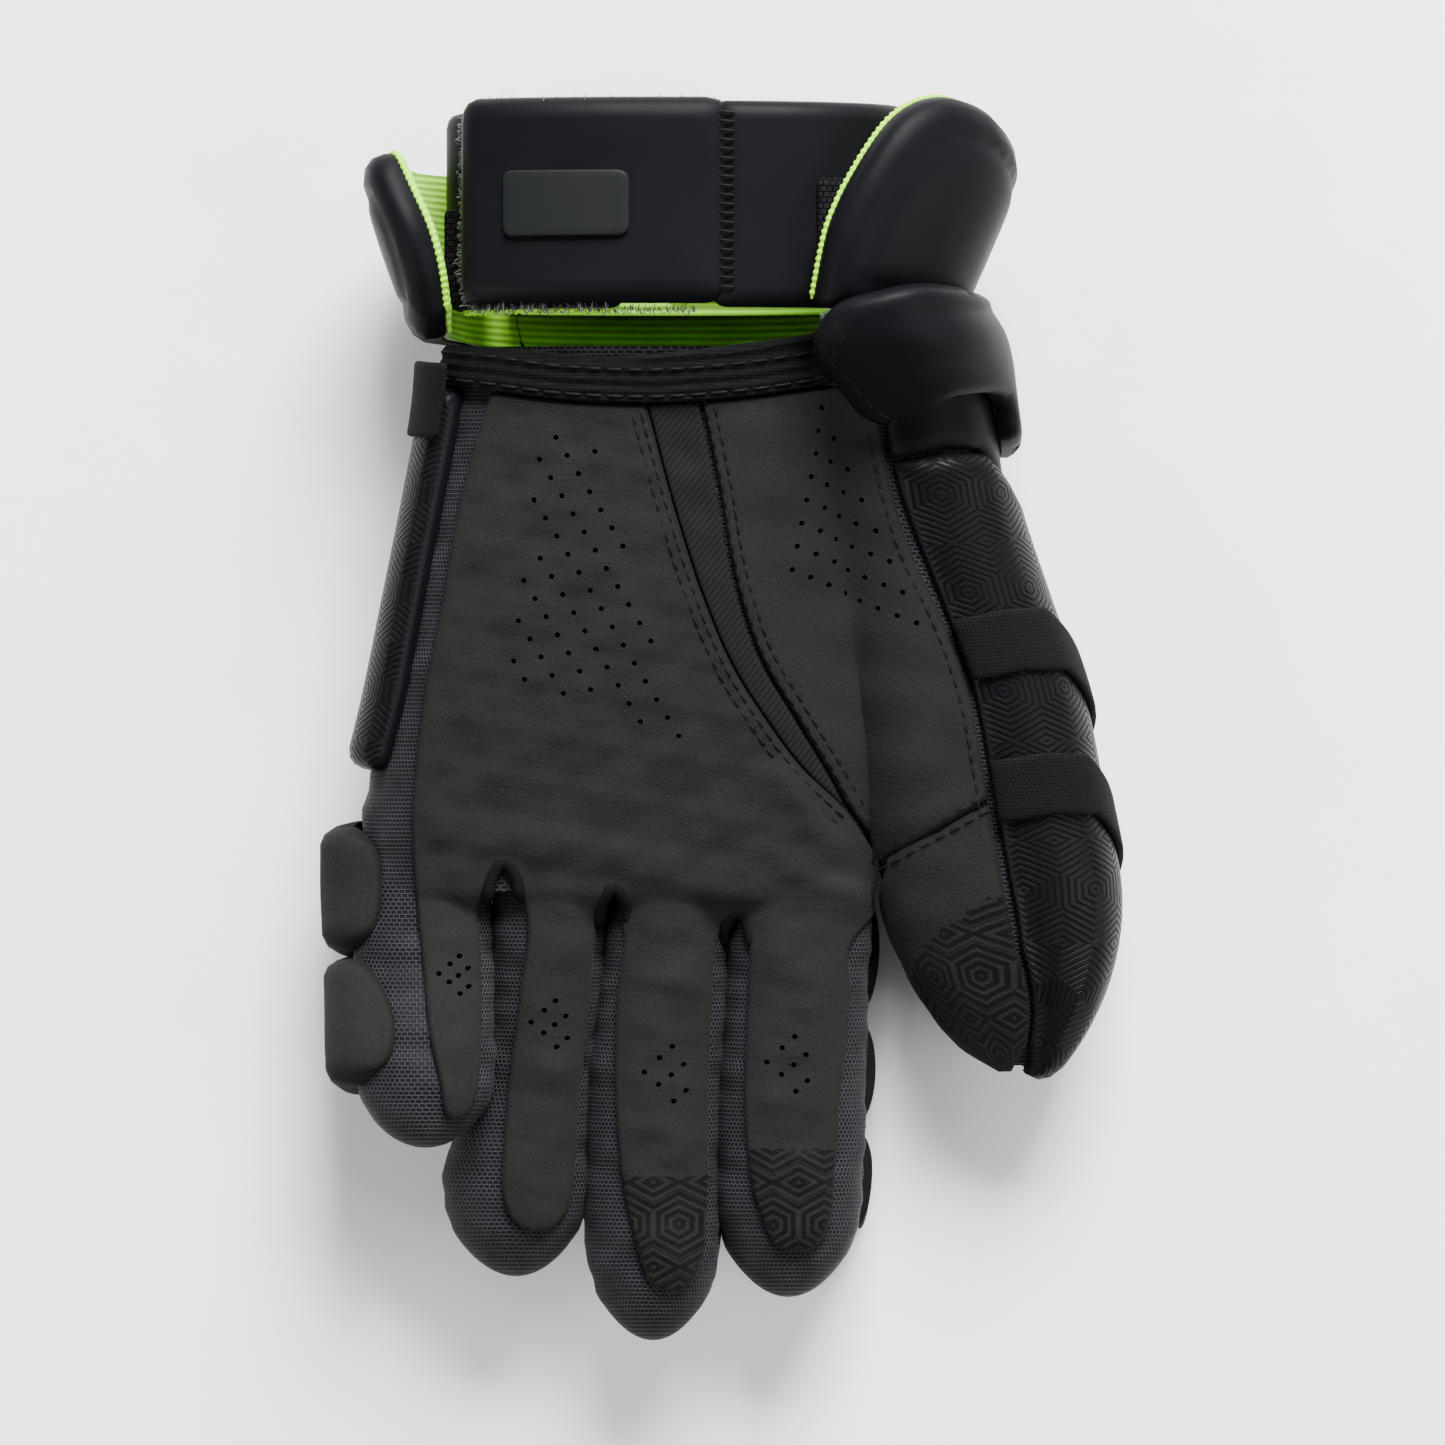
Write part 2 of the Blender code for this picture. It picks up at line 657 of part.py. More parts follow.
def sheet(name, outline, place, inner, thickness, finish, spacing=11.0, edge=2.0, seated=True):
    """A closed panel over an outline. place(points, offset) sets it on its form; inner and
    thickness are lengths, or functions of the outline's points; the rim is rounded over
    one edge width. A seated panel's facets clear what lies under it."""
    flat, faces = filled(outline, spacing, edge)
    away = np.clip(distance_to(outline, flat) / edge, 0, 1)
    rim = RIM_SHARE + (1 - RIM_SHARE) * np.sqrt(1 - (1 - away) ** 2)
    start = inner(flat) if callable(inner) else np.full(len(flat), float(inner))
    full = thickness(flat) if callable(thickness) else np.full(len(flat), float(thickness))
    lift = chord_lift(flat, faces, place, start) if seated else 0.0
    over = place(flat, np.maximum(start + full * rim, start + lift + 0.7 * full.min() * rim))
    under = place(flat, start + lift)
    count = len(flat)
    directed = {(f[i], f[(i + 1) % 3]) for f in faces for i in range(3)}
    border = [(a, b) for a, b in directed if (b, a) not in directed]
    solid = [tuple(count + i for i in f) for f in faces] + [f[::-1] for f in faces]
    for a, b in sorted(border):
        solid += [(a, b, count + b), (a, count + b, count + a)]
    return add_object(name, np.vstack([under, over]), solid, finish)


def round_plane(form, y_middle):
    """How many millimetres of a form's girth one degree takes, near the given y."""
    _, _, half_width, half_height, _ = form.section(y_middle)
    return float(math.radians(1) * (half_width + half_height) / 2)


def round_sheet(name, outline, form, inner, thickness, finish, lane=None, step=11.0, **more):
    """A panel round a form, its outline in degrees and millimetres of Y."""
    ys = [y for _, y in outline]
    scale = round_plane(form, (min(ys) + max(ys)) / 2)

    def place(flat, offset):
        points = form.around(flat[:, 0] / scale, flat[:, 1], offset)
        if lane:
            points[:, 0] = np.clip(points[:, 0], lane[0](flat[:, 1]), lane[1](flat[:, 1]))
        points[:, 2] = np.maximum(points[:, 2], 0)
        return points

    def by_angle(value):
        return (lambda flat: value(flat[:, 0] / scale, flat[:, 1])) if callable(value) else value

    flat_outline = split_sides([(a * scale, y) for a, y in outline], step)
    return sheet(name, flat_outline, place, by_angle(inner), by_angle(thickness), finish, **more)


def palm_sheet(name, outline, inner, thickness, finish, **more):
    """A panel on the palm side, its outline in millimetres of the floor."""

    def place(flat, offset):
        return on_palm(flat[:, 0], flat[:, 1], offset)

    return sheet(name, split_sides(outline, 11.0), place, inner, thickness, finish, **more)


def tube_rings(form, ys, sides):
    angles = np.arange(sides) * 360 / sides
    return [form.around(angles, np.full(sides, y)) for y in ys]


def bridge(start_a, start_b, sides):
    made = []
    for i in range(sides):
        j = (i + 1) % sides
        made.append((start_a + i, start_a + j, start_b + j, start_b + i))
    return made


def plug(name, form, ys, sides=20):
    """A closed solid of a form between the first and the last y, with flat ends."""
    rings = tube_rings(form, ys, sides)
    faces = [tuple(range(sides))[::-1], tuple((len(rings) - 1) * sides + i for i in range(sides))]
    for number in range(len(rings) - 1):
        faces += bridge(number * sides, (number + 1) * sides, sides)
    return add_object(name, np.vstack(rings), faces, MESH_CLOTH)


def tip_stations(form, start, rows, end_share=0.985):
    """Y stations from a tube's open end to its tip, closer together where it rounds off."""
    round_start, tip, _ = form.tip
    tip = tip - form.grow
    straight = np.linspace(start, round_start, rows)
    turn = np.radians([30, 52, 70])
    return list(straight) + [round_start + (tip - round_start) * t for t in (*np.sin(turn), end_share)]


def sock(name, form, start, wall, rows, sides, finish):
    """A hollow tube open at its start and closed at its tip."""
    outer_y = tip_stations(form, start, rows)
    inner_form = form.grown(-wall)
    inner_y = tip_stations(inner_form, start, rows)
    outer, inner = tube_rings(form, outer_y, sides), tube_rings(inner_form, inner_y, sides)
    points = np.vstack(outer + inner)
    count = len(outer)
    faces = []
    for number in range(count - 1):
        faces += bridge(number * sides, (number + 1) * sides, sides)
        faces += [f[::-1] for f in bridge((count + number) * sides, (count + number + 1) * sides, sides)]
    faces += bridge(count * sides, 0, sides)
    faces.append(tuple((count - 1) * sides + i for i in range(sides)))
    faces.append(tuple((2 * count - 1) * sides + i for i in range(sides))[::-1])
    return add_object(name, points, faces, finish)


def cut(target, cutter):
    """Takes a helper solid away from a part."""
    change = target.modifiers.new("cut_" + cutter.name, "BOOLEAN")
    change.operation = "DIFFERENCE"
    change.object = cutter
    cutter.hide_render = True
    cutter.display_type = "WIRE"


def hand_and_thumb_shells():
    """The mesh body of the hand, with its wrist open and a hole for each finger and the thumb."""
    hand_ys = np.linspace(HAND_LENGTH, 0, 7)
    hand = plug("hand_shell", HAND, hand_ys, 24)
    hollow_ys = np.linspace(HAND_LENGTH + 6, SHELL_WALL, 7)
    cut(hand, plug("hand_hollow", HAND.grown(-SHELL_WALL), hollow_ys, 24))
    for name, form in FINGERS.items():
        bore = plug(name + "_bore", form.grown(-SHELL_WALL), [1.5 * SHELL_WALL, -SHELL_WALL], 14)
        cut(hand, bore)
    thumb_start = thumb_y(0.0)
    thumb = plug("thumb_shell", THUMB, tip_stations(THUMB, thumb_start, 6, 0.975), 18)
    hollow = THUMB.grown(-SHELL_WALL)
    bore = plug("thumb_bore", hollow, tip_stations(hollow, thumb_start - SHELL_WALL, 6, 0.975), 18)
    cut(thumb, bore)
    cut(hand, bore)
    past_ends = np.linspace(HAND_LENGTH + 12, -12, 9)
    clearance = plug("hand_clearance", HAND.grown(2 * SEAT), past_ends, 24)
    cut(thumb, clearance)
    return clearance


def finger_shells():
    for name, form in FINGERS.items():
        rows = {"pinky": 4, "ring": 5, "middle": 5, "index": 5}[name]
        sock(name + "_shell", form, -GAP, SHELL_WALL, rows, 14, MESH_CLOTH)


PALM_FACETS = {"spacing": 12.0, "edge": 1.5}


def strip_outline(name):
    """The palm leather's edge on one finger: down its left side, round its end and up."""
    form, length = FINGERS[name], LANES[name][0]
    last, low, high = STRIPS[name][-1]
    share, across = STRIP_ENDS[name]
    near_end = last + 0.78 * (share - last)
    turn = [(near_end, 0.3 * across + 0.7 * low), (share, across), (near_end, 0.3 * across + 0.7 * high)]
    edge = [(t, a) for t, a, _ in STRIPS[name]] + turn + [(t, b) for t, _, b in reversed(STRIPS[name])]
    return [(form.at_across(a, -t * length), -t * length) for t, a in edge]


def slit_head(number, name):
    _, _, right = LANES[name]
    u, v = SLIT_HEADS[number]
    return (float(right(0.0)) + PALM_WIDTH * u, PALM_WIDTH * v)


def palm_leather():
    """The palm with its four finger strips, the thenar panel and the stretch strip between."""
    names = list(LANES)
    left_and_fingers = palm_points(PALM_LEFT_EDGE)
    for number, name in enumerate(names):
        left_and_fingers += strip_outline(name)
        if number < 3:
            left_and_fingers.append(slit_head(number, name))
    left_and_fingers += palm_points([CROTCH])
    right = curved(palm_points([CREASE_END] + STRIP_LEFT_EDGE), 9.0)
    left = curved(left_and_fingers, 7.0)
    top = binding_edge(right[-1][0], left[0][0])
    palm_sheet("palm_main", left + right[:-1] + top, SEAT, SUEDE, SUEDE_CLOTH, **PALM_FACETS)

    shift = 1.5 * GAP
    left = [(x + shift, y) for x, y in curved(palm_points(STRIP_LEFT_EDGE), 9.0)]
    right = curved(palm_points(STRIP_RIGHT_EDGE), 9.0)
    strip = left[:-1] + binding_edge(right[-1][0], left[-1][0])[::-1] + right[::-1][1:-1]
    palm_sheet("palm_stretch", strip, SEAT, SUEDE * 0.7, WEB_CLOTH, **PALM_FACETS)

    inner = [(x + 2 * shift, y) for x, y in right[1:]]
    seam = [thumb_seam_point(y, 3.0) for y in np.linspace(0.168 * HAND_LENGTH, 0.865 * HAND_LENGTH, 12)]
    corner = palm_points([THENAR_CORNER])[0]
    top = binding_edge(inner[-1][0], corner[0])[::-1]
    start = palm_points([CREASE_END, THUMB_SEAM_START])
    start = [(start[0][0] + 4 * shift, start[0][1] + 2 * shift), (start[1][0] + shift, start[1][1] + shift)]
    thenar = start + seam + [corner] + top[1:] + inner[::-1][1:]
    palm_sheet("palm_thenar", thenar, SEAT, SUEDE, SUEDE_CLOTH, **PALM_FACETS)

    lower, upper = palm_points(BINDING_LOWER), palm_points(BINDING_UPPER)
    band = curved(lower, 9.0) + curved(upper, 9.0)
    palm_sheet("wrist_binding", band, 1.6 * SEAT, BINDING, WEB_CLOTH, spacing=10.0, edge=2.0)


def binding_edge(first_x, last_x):
    """Points just below the wrist binding, from one x to another."""
    u, v = column(BINDING_LOWER, 0), column(BINDING_LOWER, 1)
    count = max(2, round(abs(last_x - first_x) / 9) + 1)
    xs = np.linspace(first_x, last_x, count)
    return [(x, HAND_LENGTH * float(smooth((x - PALM_LEFT) / PALM_WIDTH, u, v)) - 2 * GAP) for x in xs]


def thumb_seam_point(y, degrees):
    """The point of the floor under the thumb's seam, so many degrees to its palm side."""
    point = THUMB.around(thumb_seam(y) + degrees, y)
    return (float(point[0]), float(y))


def thumb_joint(share, angle):
    """Y of a joint in the thumb's padding, at an angle round it."""
    sweep = smooth(angle, column(THUMB_SWEEP, 0), column(THUMB_SWEEP, 1))
    return thumb_y(share) + THUMB_LENGTH * sweep


def thumb_ring(first, last, low_angle):
    """An outline round the thumb between two of its joints, up to its seam."""
    edges = []
    for share in (first, last):
        high = float(thumb_seam(thumb_y(share)))
        angles = np.linspace(low_angle, high, 7)
        edges.append([(a, float(thumb_joint(share, a))) for a in angles])
    return edges[0] + edges[1][::-1]


def thumb_pad_height(angle, y):
    """The padding is thin at the palm seam and full round the side and back."""
    return THUMB_PAD * (0.3 + 0.7 * np.clip((thumb_seam(y) - angle) / 50, 0, 1) ** 0.7)


def thumb_padding():
    low = THUMB_BACK_ANGLE
    slack = 2.5 * GAP / THUMB_LENGTH
    start = float(thumb_y(0.01))
    sleeve = [(a, min(y, start)) for a, y in thumb_ring(0.01, SLEEVE_END, low)]
    round_sheet("thumb_sleeve", sleeve, THUMB, SEAT, THUMB_SLEEVE, SMOOTH_CLOTH, edge=2.5)
    spans = {"upper": (SLEEVE_END + slack, UPPER_JOINT), "middle": (UPPER_JOINT + slack, MIDDLE_JOINT)}
    for name, (first, last) in spans.items():
        outline = thumb_ring(first, last, low)
        round_sheet(f"thumb_pad_{name}", outline, THUMB, SEAT, thumb_pad_height, PAD_CLOTH, edge=4.0)
    cap_start = thumb_ring(MIDDLE_JOINT + slack, MIDDLE_JOINT + slack, low)[:7]
    seam = [(float(thumb_seam(y)), float(y)) for y in thumb_y(np.array([0.72, 0.82, 0.90, 0.955]))]
    tip = float(thumb_y(0.972))
    cap = cap_start + seam + [(30, tip), (-20, tip), (low, tip + 3)]
    round_sheet("thumb_cap", cap, THUMB, SEAT, thumb_pad_height, PAD_CLOTH, edge=4.0)
    for number, joint in ((1, UPPER_JOINT), (2, MIDDLE_JOINT)):
        outline = thumb_ring(joint - BAND_HALF_WIDTH, joint + BAND_HALF_WIDTH, low + 4)
        over = lambda angle, y: SEAT + thumb_pad_height(angle, y) + GAP
        round_sheet(f"thumb_band_{number}", outline, THUMB, over, WEBBING, WEB_CLOTH, edge=2.0)


def thumb_leather():
    """The thumb's own palm leather, from its seam to its tip and round its inner side."""
    corner = thumb_seam_point(0.160 * HAND_LENGTH, 3.0)
    start = palm_points([THUMB_SEAM_START])[0]
    middle = ((start[0] + corner[0]) / 2, (start[1] + corner[1]) / 2)
    top = [(upper_angle(THUMB, x, y), y - GAP) for x, y in (corner, middle, start)]
    side = [(140.0, 0.02), (186.0, -0.05), (200.0, -0.15), (190.0, -0.28)]
    side = [(a, v * HAND_LENGTH) for a, v in side]
    tip = float(thumb_y(0.968))
    seam_ys = thumb_y(np.array([0.955, 0.90, 0.82, 0.74, 0.66]))
    seam = [(float(thumb_seam(y)) + 3, float(y)) for y in seam_ys]
    outline = top + side + [(120.0, tip), (82.0, tip)] + seam
    round_sheet("thumb_palm", outline, THUMB, SEAT, SUEDE, SUEDE_CLOTH, edge=1.5)


def upper_angle(form, x, y):
    """The angle of the point on a form's upper side that lies over a point of the floor."""
    centre, _, half_width, _, power = (float(v) for v in form.section(y))
    across = min(max((x - centre) / half_width, -0.985), 0.985)
    cosine = math.copysign(abs(across) ** (power / 2), across)
    return math.degrees(math.acos(cosine))


def back_padding():
    """Foam rolls under the back of the hand, and the long one along its little-finger edge."""
    bands = {"upper": (0.985, 0.70), "middle": (0.69, 0.44), "knuckle": (0.43, 0.11)}
    for name, (top, low) in bands.items():
        halves = {"": (224, 312)} if name == "upper" else {"_outer": (224, 269.3), "_inner": (270.7, 316)}
        for side, (left, right) in halves.items():
            outline = rounded_box(left, right, low * HAND_LENGTH, top * HAND_LENGTH, 5.0)
            fit = {"spacing": 13.0, "edge": 7.0, "step": 12.0}
            round_sheet(f"back_pad_{name}{side}", outline, HAND, SEAT, BACK_PAD * 1.4, PAD_CLOTH, **fit)
    edge = rounded_box(152, 214, 0.22 * HAND_LENGTH, 0.920 * HAND_LENGTH, 4.0)
    round_sheet("edge_pad", edge, HAND, SEAT, EDGE_PAD, PAD_CLOTH, edge=3.5)
    tab = rounded_box(SIDE_TAB_LOW, SIDE_TAB_HIGH, 0.83 * HAND_LENGTH, 0.975 * HAND_LENGTH, 1.5)
    round_sheet("side_tab", tab, HAND, SEAT + EDGE_PAD + GAP, WEBBING, WEB_CLOTH, edge=1.0)


def finger_padding(hand_clearance):
    """The rolls on the back of each finger."""
    rolls = {
        "pinky": [(-0.24, 0.24, 146, 236), (0.27, 0.76, 140, 236)],
        "ring": [(0.02, 0.30, 238, 302), (0.33, 0.56, 238, 302), (0.59, 0.84, 240, 300)],
        "middle": [(0.02, 0.28, 238, 302), (0.31, 0.53, 238, 302), (0.56, 0.82, 240, 300)],
        "index": [(0.03, 0.30, 238, 338), (0.33, 0.57, 238, 338), (0.60, 0.82, 240, 336)],
    }
    for name, rows in rolls.items():
        length, left, right = LANES[name]
        reach = 2.5 if name == "index" else -0.4
        lane = (lambda y, e=left: e(y) + 0.4, lambda y, e=right, r=reach: e(y) + r)
        lane = None if name == "pinky" else lane
        thick = PINKY_PAD if name == "pinky" else FINGER_PAD * 1.4
        for number, (first, last, low, high) in enumerate(rows, 1):
            outline = rounded_box(low, high, -last * length, -first * length, 3.0)
            fit = {"lane": lane, "edge": 4.0}
            title = f"{name}_pad_{number}"
            roll = round_sheet(title, outline, FINGERS[name], SEAT, thick, SUEDE_CLOTH, **fit)
            if first < 0:
                cut(roll, hand_clearance)


# Layers over one another in the cuff keep the same facets, so that they never cross
CUFF_FACETS = {"spacing": 14.0, "step": 13.0, "seated": False}


def cuff_points(shares):
    return [(a, float(cuff_y(v))) for a, v in shares]


def cuff_panels():
    """The flared cuff: a panel at the back and a wing on each side, each with its lining."""
    start = float(HAND_LENGTH + GAP)
    slack = 0.6
    thumb_wing = curved(cuff_points(WING_THUMB), 12.0)
    high, low = BACK_HIGH_ANGLE - 360 + slack, BACK_LOW_ANGLE - slack
    flare = float(cuff_y(FLARE_TOP))
    thumb_wing += [(high, flare), (high, start), (0.0, start), (45.0, start)]
    pinky_wing = curved(cuff_points(WING_PINKY), 12.0)
    pinky_wing += [(low, flare), (low, start), (166.0, start)]
    back = rounded_box(BACK_LOW_ANGLE, BACK_HIGH_ANGLE, start, float(cuff_y(BACK_TOP)), 3.0)
    panels = {"wing_thumb": thumb_wing, "wing_pinky": pinky_wing, "cuff_back": back}
    for name, outline in panels.items():
        round_sheet(name, outline, CUFF, -CUFF_WALL, CUFF_WALL, SMOOTH_CLOTH, edge=4.0, **CUFF_FACETS)
        inner = -CUFF_WALL - GAP - LINING
        lining = name.replace("wing", "lining").replace("cuff", "lining")
        round_sheet(lining, outline, CUFF, inner, LINING, GREEN_CLOTH, edge=4.0, **CUFF_FACETS)


def wrist_wrap():
    """The padded wrap inside the cuff, closed over the palm side of the wrist by its tab."""
    low, high = float(cuff_y(0.15)), float(cuff_y(0.15)) + WRAP_LENGTH
    cut_like = {"edge": 2.5, **CUFF_FACETS}
    back = rounded_box(231, 329, low, high, 3.0)
    round_sheet("wrap_back", back, WRAP, GAP, WRAP_WALL - GAP, SMOOTH_CLOTH, **cut_like)
    right = rounded_box(-30, WRAP_SEAM, low, high, 3.0)
    round_sheet("wrap_right", right, WRAP, GAP, WRAP_WALL - GAP, SMOOTH_CLOTH, **cut_like)
    round_sheet("wrap_lining_back", back, WRAP, -LINING - LAYER_GAP, LINING, GREEN_CLOTH, **cut_like)
    lining = rounded_box(-30, WRAP_SEAM + 15, low, high, 3.0)
    round_sheet("wrap_lining_right", lining, WRAP, -LINING - LAYER_GAP, LINING, GREEN_CLOTH, **cut_like)
    left = rounded_box(98, 226, low, high - 2, 3.0)
    inner = -LAYER_GAP - LOOP_PILE - LAYER_GAP - WRAP_FLAP
    round_sheet("wrap_left", left, WRAP, inner, WRAP_FLAP, SMOOTH_CLOTH, **cut_like)
    round_sheet("wrap_lining_left", left, WRAP, inner - GAP - LINING, LINING, GREEN_CLOTH, **cut_like)
    pile = rounded_box(100, 150, low + 2, high - 4, 3.0)
    pile_low = -LAYER_GAP - LOOP_PILE
    round_sheet("loop_patch", pile, WRAP, pile_low, LOOP_PILE, WEB_CLOTH, edge=1.5, **CUFF_FACETS)
    tab = rounded_box(WRAP_SEAM + 0.5, 146, low + 1, high + 1, 6.0)
    round_sheet("wrist_tab", tab, WRAP, GAP, TAB_THICKNESS, SMOOTH_CLOTH, edge=3.0)
    badge = rounded_box(96, 128, low + 0.34 * WRAP_LENGTH, low + 0.66 * WRAP_LENGTH, 2.5)
    badge_low = GAP + TAB_THICKNESS + LAYER_GAP
    round_sheet("tab_badge", badge, WRAP, badge_low, BADGE, RUBBER, spacing=12.0, edge=1.0, step=12.0)


def elastics():
    """Ribbed elastic that holds the wings to the wrist wrap."""
    low, high = float(cuff_y(0.26)), float(cuff_y(0.66))
    right = rounded_box(37, 53, low, high, 1.5)
    round_sheet("elastic_thumb", right, WRAP, WRAP_WALL + LAYER_GAP, WEBBING, WEB_CLOTH, edge=1.0)
    low, high = float(cuff_y(0.17)), float(cuff_y(0.55))
    left = rounded_box(150, 164, low, high, 1.5)
    round_sheet("elastic_pinky", left, WRAP, -LAYER_GAP - LOOP_PILE, WEBBING, WEB_CLOTH, edge=1.0)


def strap_form():
    """Where the thumb strap lies: over the wing at the cuff, over the sleeve by the hand."""
    ys = np.linspace(HAND_LENGTH - 28.0, float(cuff_y(0.30)), 9)
    past_hand, short_of_cuff = np.maximum(ys - HAND_LENGTH, 0), np.maximum(HAND_LENGTH - ys, 0)
    cuff_x, cuff_z, cuff_w, cuff_h, _ = CUFF.section(ys)
    thumb_x, thumb_z, thumb_w, thumb_h, _ = THUMB.section(ys)
    over_sleeve = SEAT + THUMB_SLEEVE + LAYER_GAP - 0.6 * past_hand
    over_cuff = -0.9 * short_of_cuff
    right = np.maximum(cuff_x + cuff_w + over_cuff, thumb_x + thumb_w + over_sleeve)
    high = np.maximum(cuff_z + cuff_h + over_cuff, thumb_z + thumb_h + over_sleeve)
    low = np.minimum(cuff_z - cuff_h - over_cuff, thumb_z - thumb_h - over_sleeve)
    left = thumb_x - thumb_w - over_sleeve - 1.2 * past_hand
    return Form(ys, (left + right) / 2, low, high, (right - left) / 2, SQUARENESS)


def thumb_strap():
    form = strap_form()
    lower, upper = palm_points(STRAP_LOWER), palm_points(STRAP_UPPER)
    side = [(a, v * HAND_LENGTH) for v, a in STRAP_SIDE]
    lower = [(upper_angle(form, x, y), y) for x, y in lower]
    upper = [(upper_angle(form, x, y), y) for x, y in upper]
    outline = lower + side + upper
    round_sheet("thumb_strap", outline, form, 0.0, THUMB_STRAP, SMOOTH_CLOTH, edge=3.0)


def centre_on_floor():
    """Moves every part so that the whole glove's box is centred over the origin."""
    bpy.context.view_layer.update()
    graph = bpy.context.evaluated_depsgraph_get()
    shown = [o for o in bpy.context.scene.objects if not o.hide_render]
    corners = np.array([tuple(Vector(c)) for o in shown for c in o.evaluated_get(graph).bound_box])
    low, high = corners.min(0), corners.max(0)
    shift = Vector((-(low[0] + high[0]) / 2, -(low[1] + high[1]) / 2, -low[2]))
    for o in bpy.context.scene.objects:
        o.location = shift


def main():
    for old in list(bpy.data.objects):
        bpy.data.objects.remove(old)
    hand_clearance = hand_and_thumb_shells()
    finger_shells()
    palm_leather()
    thumb_leather()
    thumb_padding()
    back_padding()
    finger_padding(hand_clearance)
    cuff_panels()
    wrist_wrap()
    elastics()
    thumb_strap()
    centre_on_floor()


main()
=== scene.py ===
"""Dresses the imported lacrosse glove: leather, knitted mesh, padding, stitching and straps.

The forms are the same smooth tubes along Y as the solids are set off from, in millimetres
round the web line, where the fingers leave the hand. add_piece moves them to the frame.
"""

import math

import bmesh
import bpy
import numpy as np
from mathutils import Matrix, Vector
from mathutils.geometry import delaunay_2d_cdt


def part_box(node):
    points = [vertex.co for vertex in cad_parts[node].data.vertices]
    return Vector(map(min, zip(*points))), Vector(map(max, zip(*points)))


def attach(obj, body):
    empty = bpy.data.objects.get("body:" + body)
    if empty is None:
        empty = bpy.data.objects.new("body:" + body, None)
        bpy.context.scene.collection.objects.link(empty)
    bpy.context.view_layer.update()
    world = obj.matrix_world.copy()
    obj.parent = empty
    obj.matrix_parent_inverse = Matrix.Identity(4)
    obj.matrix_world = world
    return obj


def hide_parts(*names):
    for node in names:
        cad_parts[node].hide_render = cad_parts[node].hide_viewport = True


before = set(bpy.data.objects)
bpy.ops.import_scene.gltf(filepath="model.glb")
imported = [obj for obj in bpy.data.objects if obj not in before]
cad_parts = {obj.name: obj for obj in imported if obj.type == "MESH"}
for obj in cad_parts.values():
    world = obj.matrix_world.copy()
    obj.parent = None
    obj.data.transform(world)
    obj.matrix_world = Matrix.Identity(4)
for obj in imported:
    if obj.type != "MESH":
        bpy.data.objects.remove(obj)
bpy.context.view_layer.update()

bl_info = {
    "name": "Lacrosse Glove Dresser",
    "version": (1, 0, 0),
    "blender": (4, 5, 0),
    "location": "View3D > Sidebar > Glove",
    "description": "Makes the leather, mesh, padding, stitching and straps of a lacrosse glove",
    "category": "Object",
}

MM = 0.001

# How square the tubes are across: 2 is an ellipse, more is boxier
SQUARENESS = 2.3

# Clearances and cloth
GAP = 0.35
SEAT = 0.6
LAYER_GAP = 0.7
SHELL_WALL = 2.0
SUEDE = 1.5
LINING = 1.5
WEBBING = 1.6
BINDING = 2.6
FINGER_GAP = 1.1

# The hand
HAND_LENGTH = 143.0
HAND_DEPTH = 40.0
BACK_PAD = 16.0
EDGE_PAD = 6.5

# The fingers, in order from the little finger
PINKY_WIDTH = 35.5
RING_WIDTH = 30.0
MIDDLE_WIDTH = 30.5
INDEX_WIDTH = 37.0
PINKY_LENGTH = 68.0
RING_LENGTH = 103.0
MIDDLE_LENGTH = 120.0
INDEX_LENGTH = 108.5
FINGER_DEPTH = 30.0
PINKY_DEPTH = 26.0
FINGER_PAD = 15.0
PINKY_PAD = 9.0
TIP_ROUNDING = 0.26

# The thumb
THUMB_LENGTH = 193.0
THUMB_WIDTH = 57.0
THUMB_DEPTH = 46.0
THUMB_PAD = 7.0
THUMB_ROUNDING = 1.6
THUMB_ROUND_START = 0.715
THUMB_SLEEVE = 3.5

# The cuff and the wrist wrap in it
CUFF_LENGTH = 66.0
CUFF_WIDTH = 174.0
CUFF_HEIGHT = 92.0
CUFF_WALL = 8.0
WRAP_LENGTH = 54.0
WRAP_WIDTH = 120.0
WRAP_TOP = 70.0
WRAP_WALL = 5.5
WRAP_FLAP = 4.5
TAB_THICKNESS = 6.0
THUMB_STRAP = 6.0
LOOP_PILE = 1.2
BADGE = 0.9
FLOOR_SINK = 1.5

PALM_WIDTH = PINKY_WIDTH + RING_WIDTH + MIDDLE_WIDTH + INDEX_WIDTH + 3 * FINGER_GAP
PALM_LEFT = -98.2
CUFF_STACK = CUFF_WALL + LINING + 2 * GAP - FLOOR_SINK

# How the lanes of the fingers lean, away from the web line.
# Columns: share of the middle finger's length, then the shift of each boundary as a share
# of the palm's width: pinky left, pinky right, ring left, ring and middle, middle and
# index, index right.
LEAN = [
    (0.000, 0.000, 0.000, 0.000, 0.000, 0.000, 0.000),
    (0.242, 0.010, 0.000, -0.002, -0.019, -0.004, -0.012),
    (0.352, 0.013, 0.002, -0.014, -0.032, -0.010, -0.014),
    (0.462, 0.019, 0.000, -0.042, -0.041, -0.017, -0.016),
    (0.571, 0.021, -0.002, -0.080, -0.043, -0.019, -0.018),
    (0.681, 0.021, -0.002, -0.090, -0.043, -0.019, -0.023),
    (1.000, 0.021, -0.002, -0.084, -0.043, -0.016, -0.027),
]

# The hand, from the wrist edge (0) to the web line (1).
# Columns: share of its length, left and right edge as shares of the palm's width, lift of
# its underside as a share of the back pad, depth as a share of the hand's, squareness.
HAND_ROWS = [
    (0.00, 0.184, 0.974, 1.06, 1.16, 2.4),
    (0.10, 0.176, 0.985, 1.06, 1.08, 2.6),
    (0.28, 0.143, 1.000, 1.04, 1.03, 2.9),
    (0.46, 0.105, 1.010, 1.04, 0.99, 3.0),
    (0.65, 0.064, 1.012, 1.03, 0.93, 3.0),
    (0.83, 0.019, 1.010, 0.98, 0.86, 3.3),
    (1.00, 0.000, 1.000, 0.90, 0.81, 3.7),
]

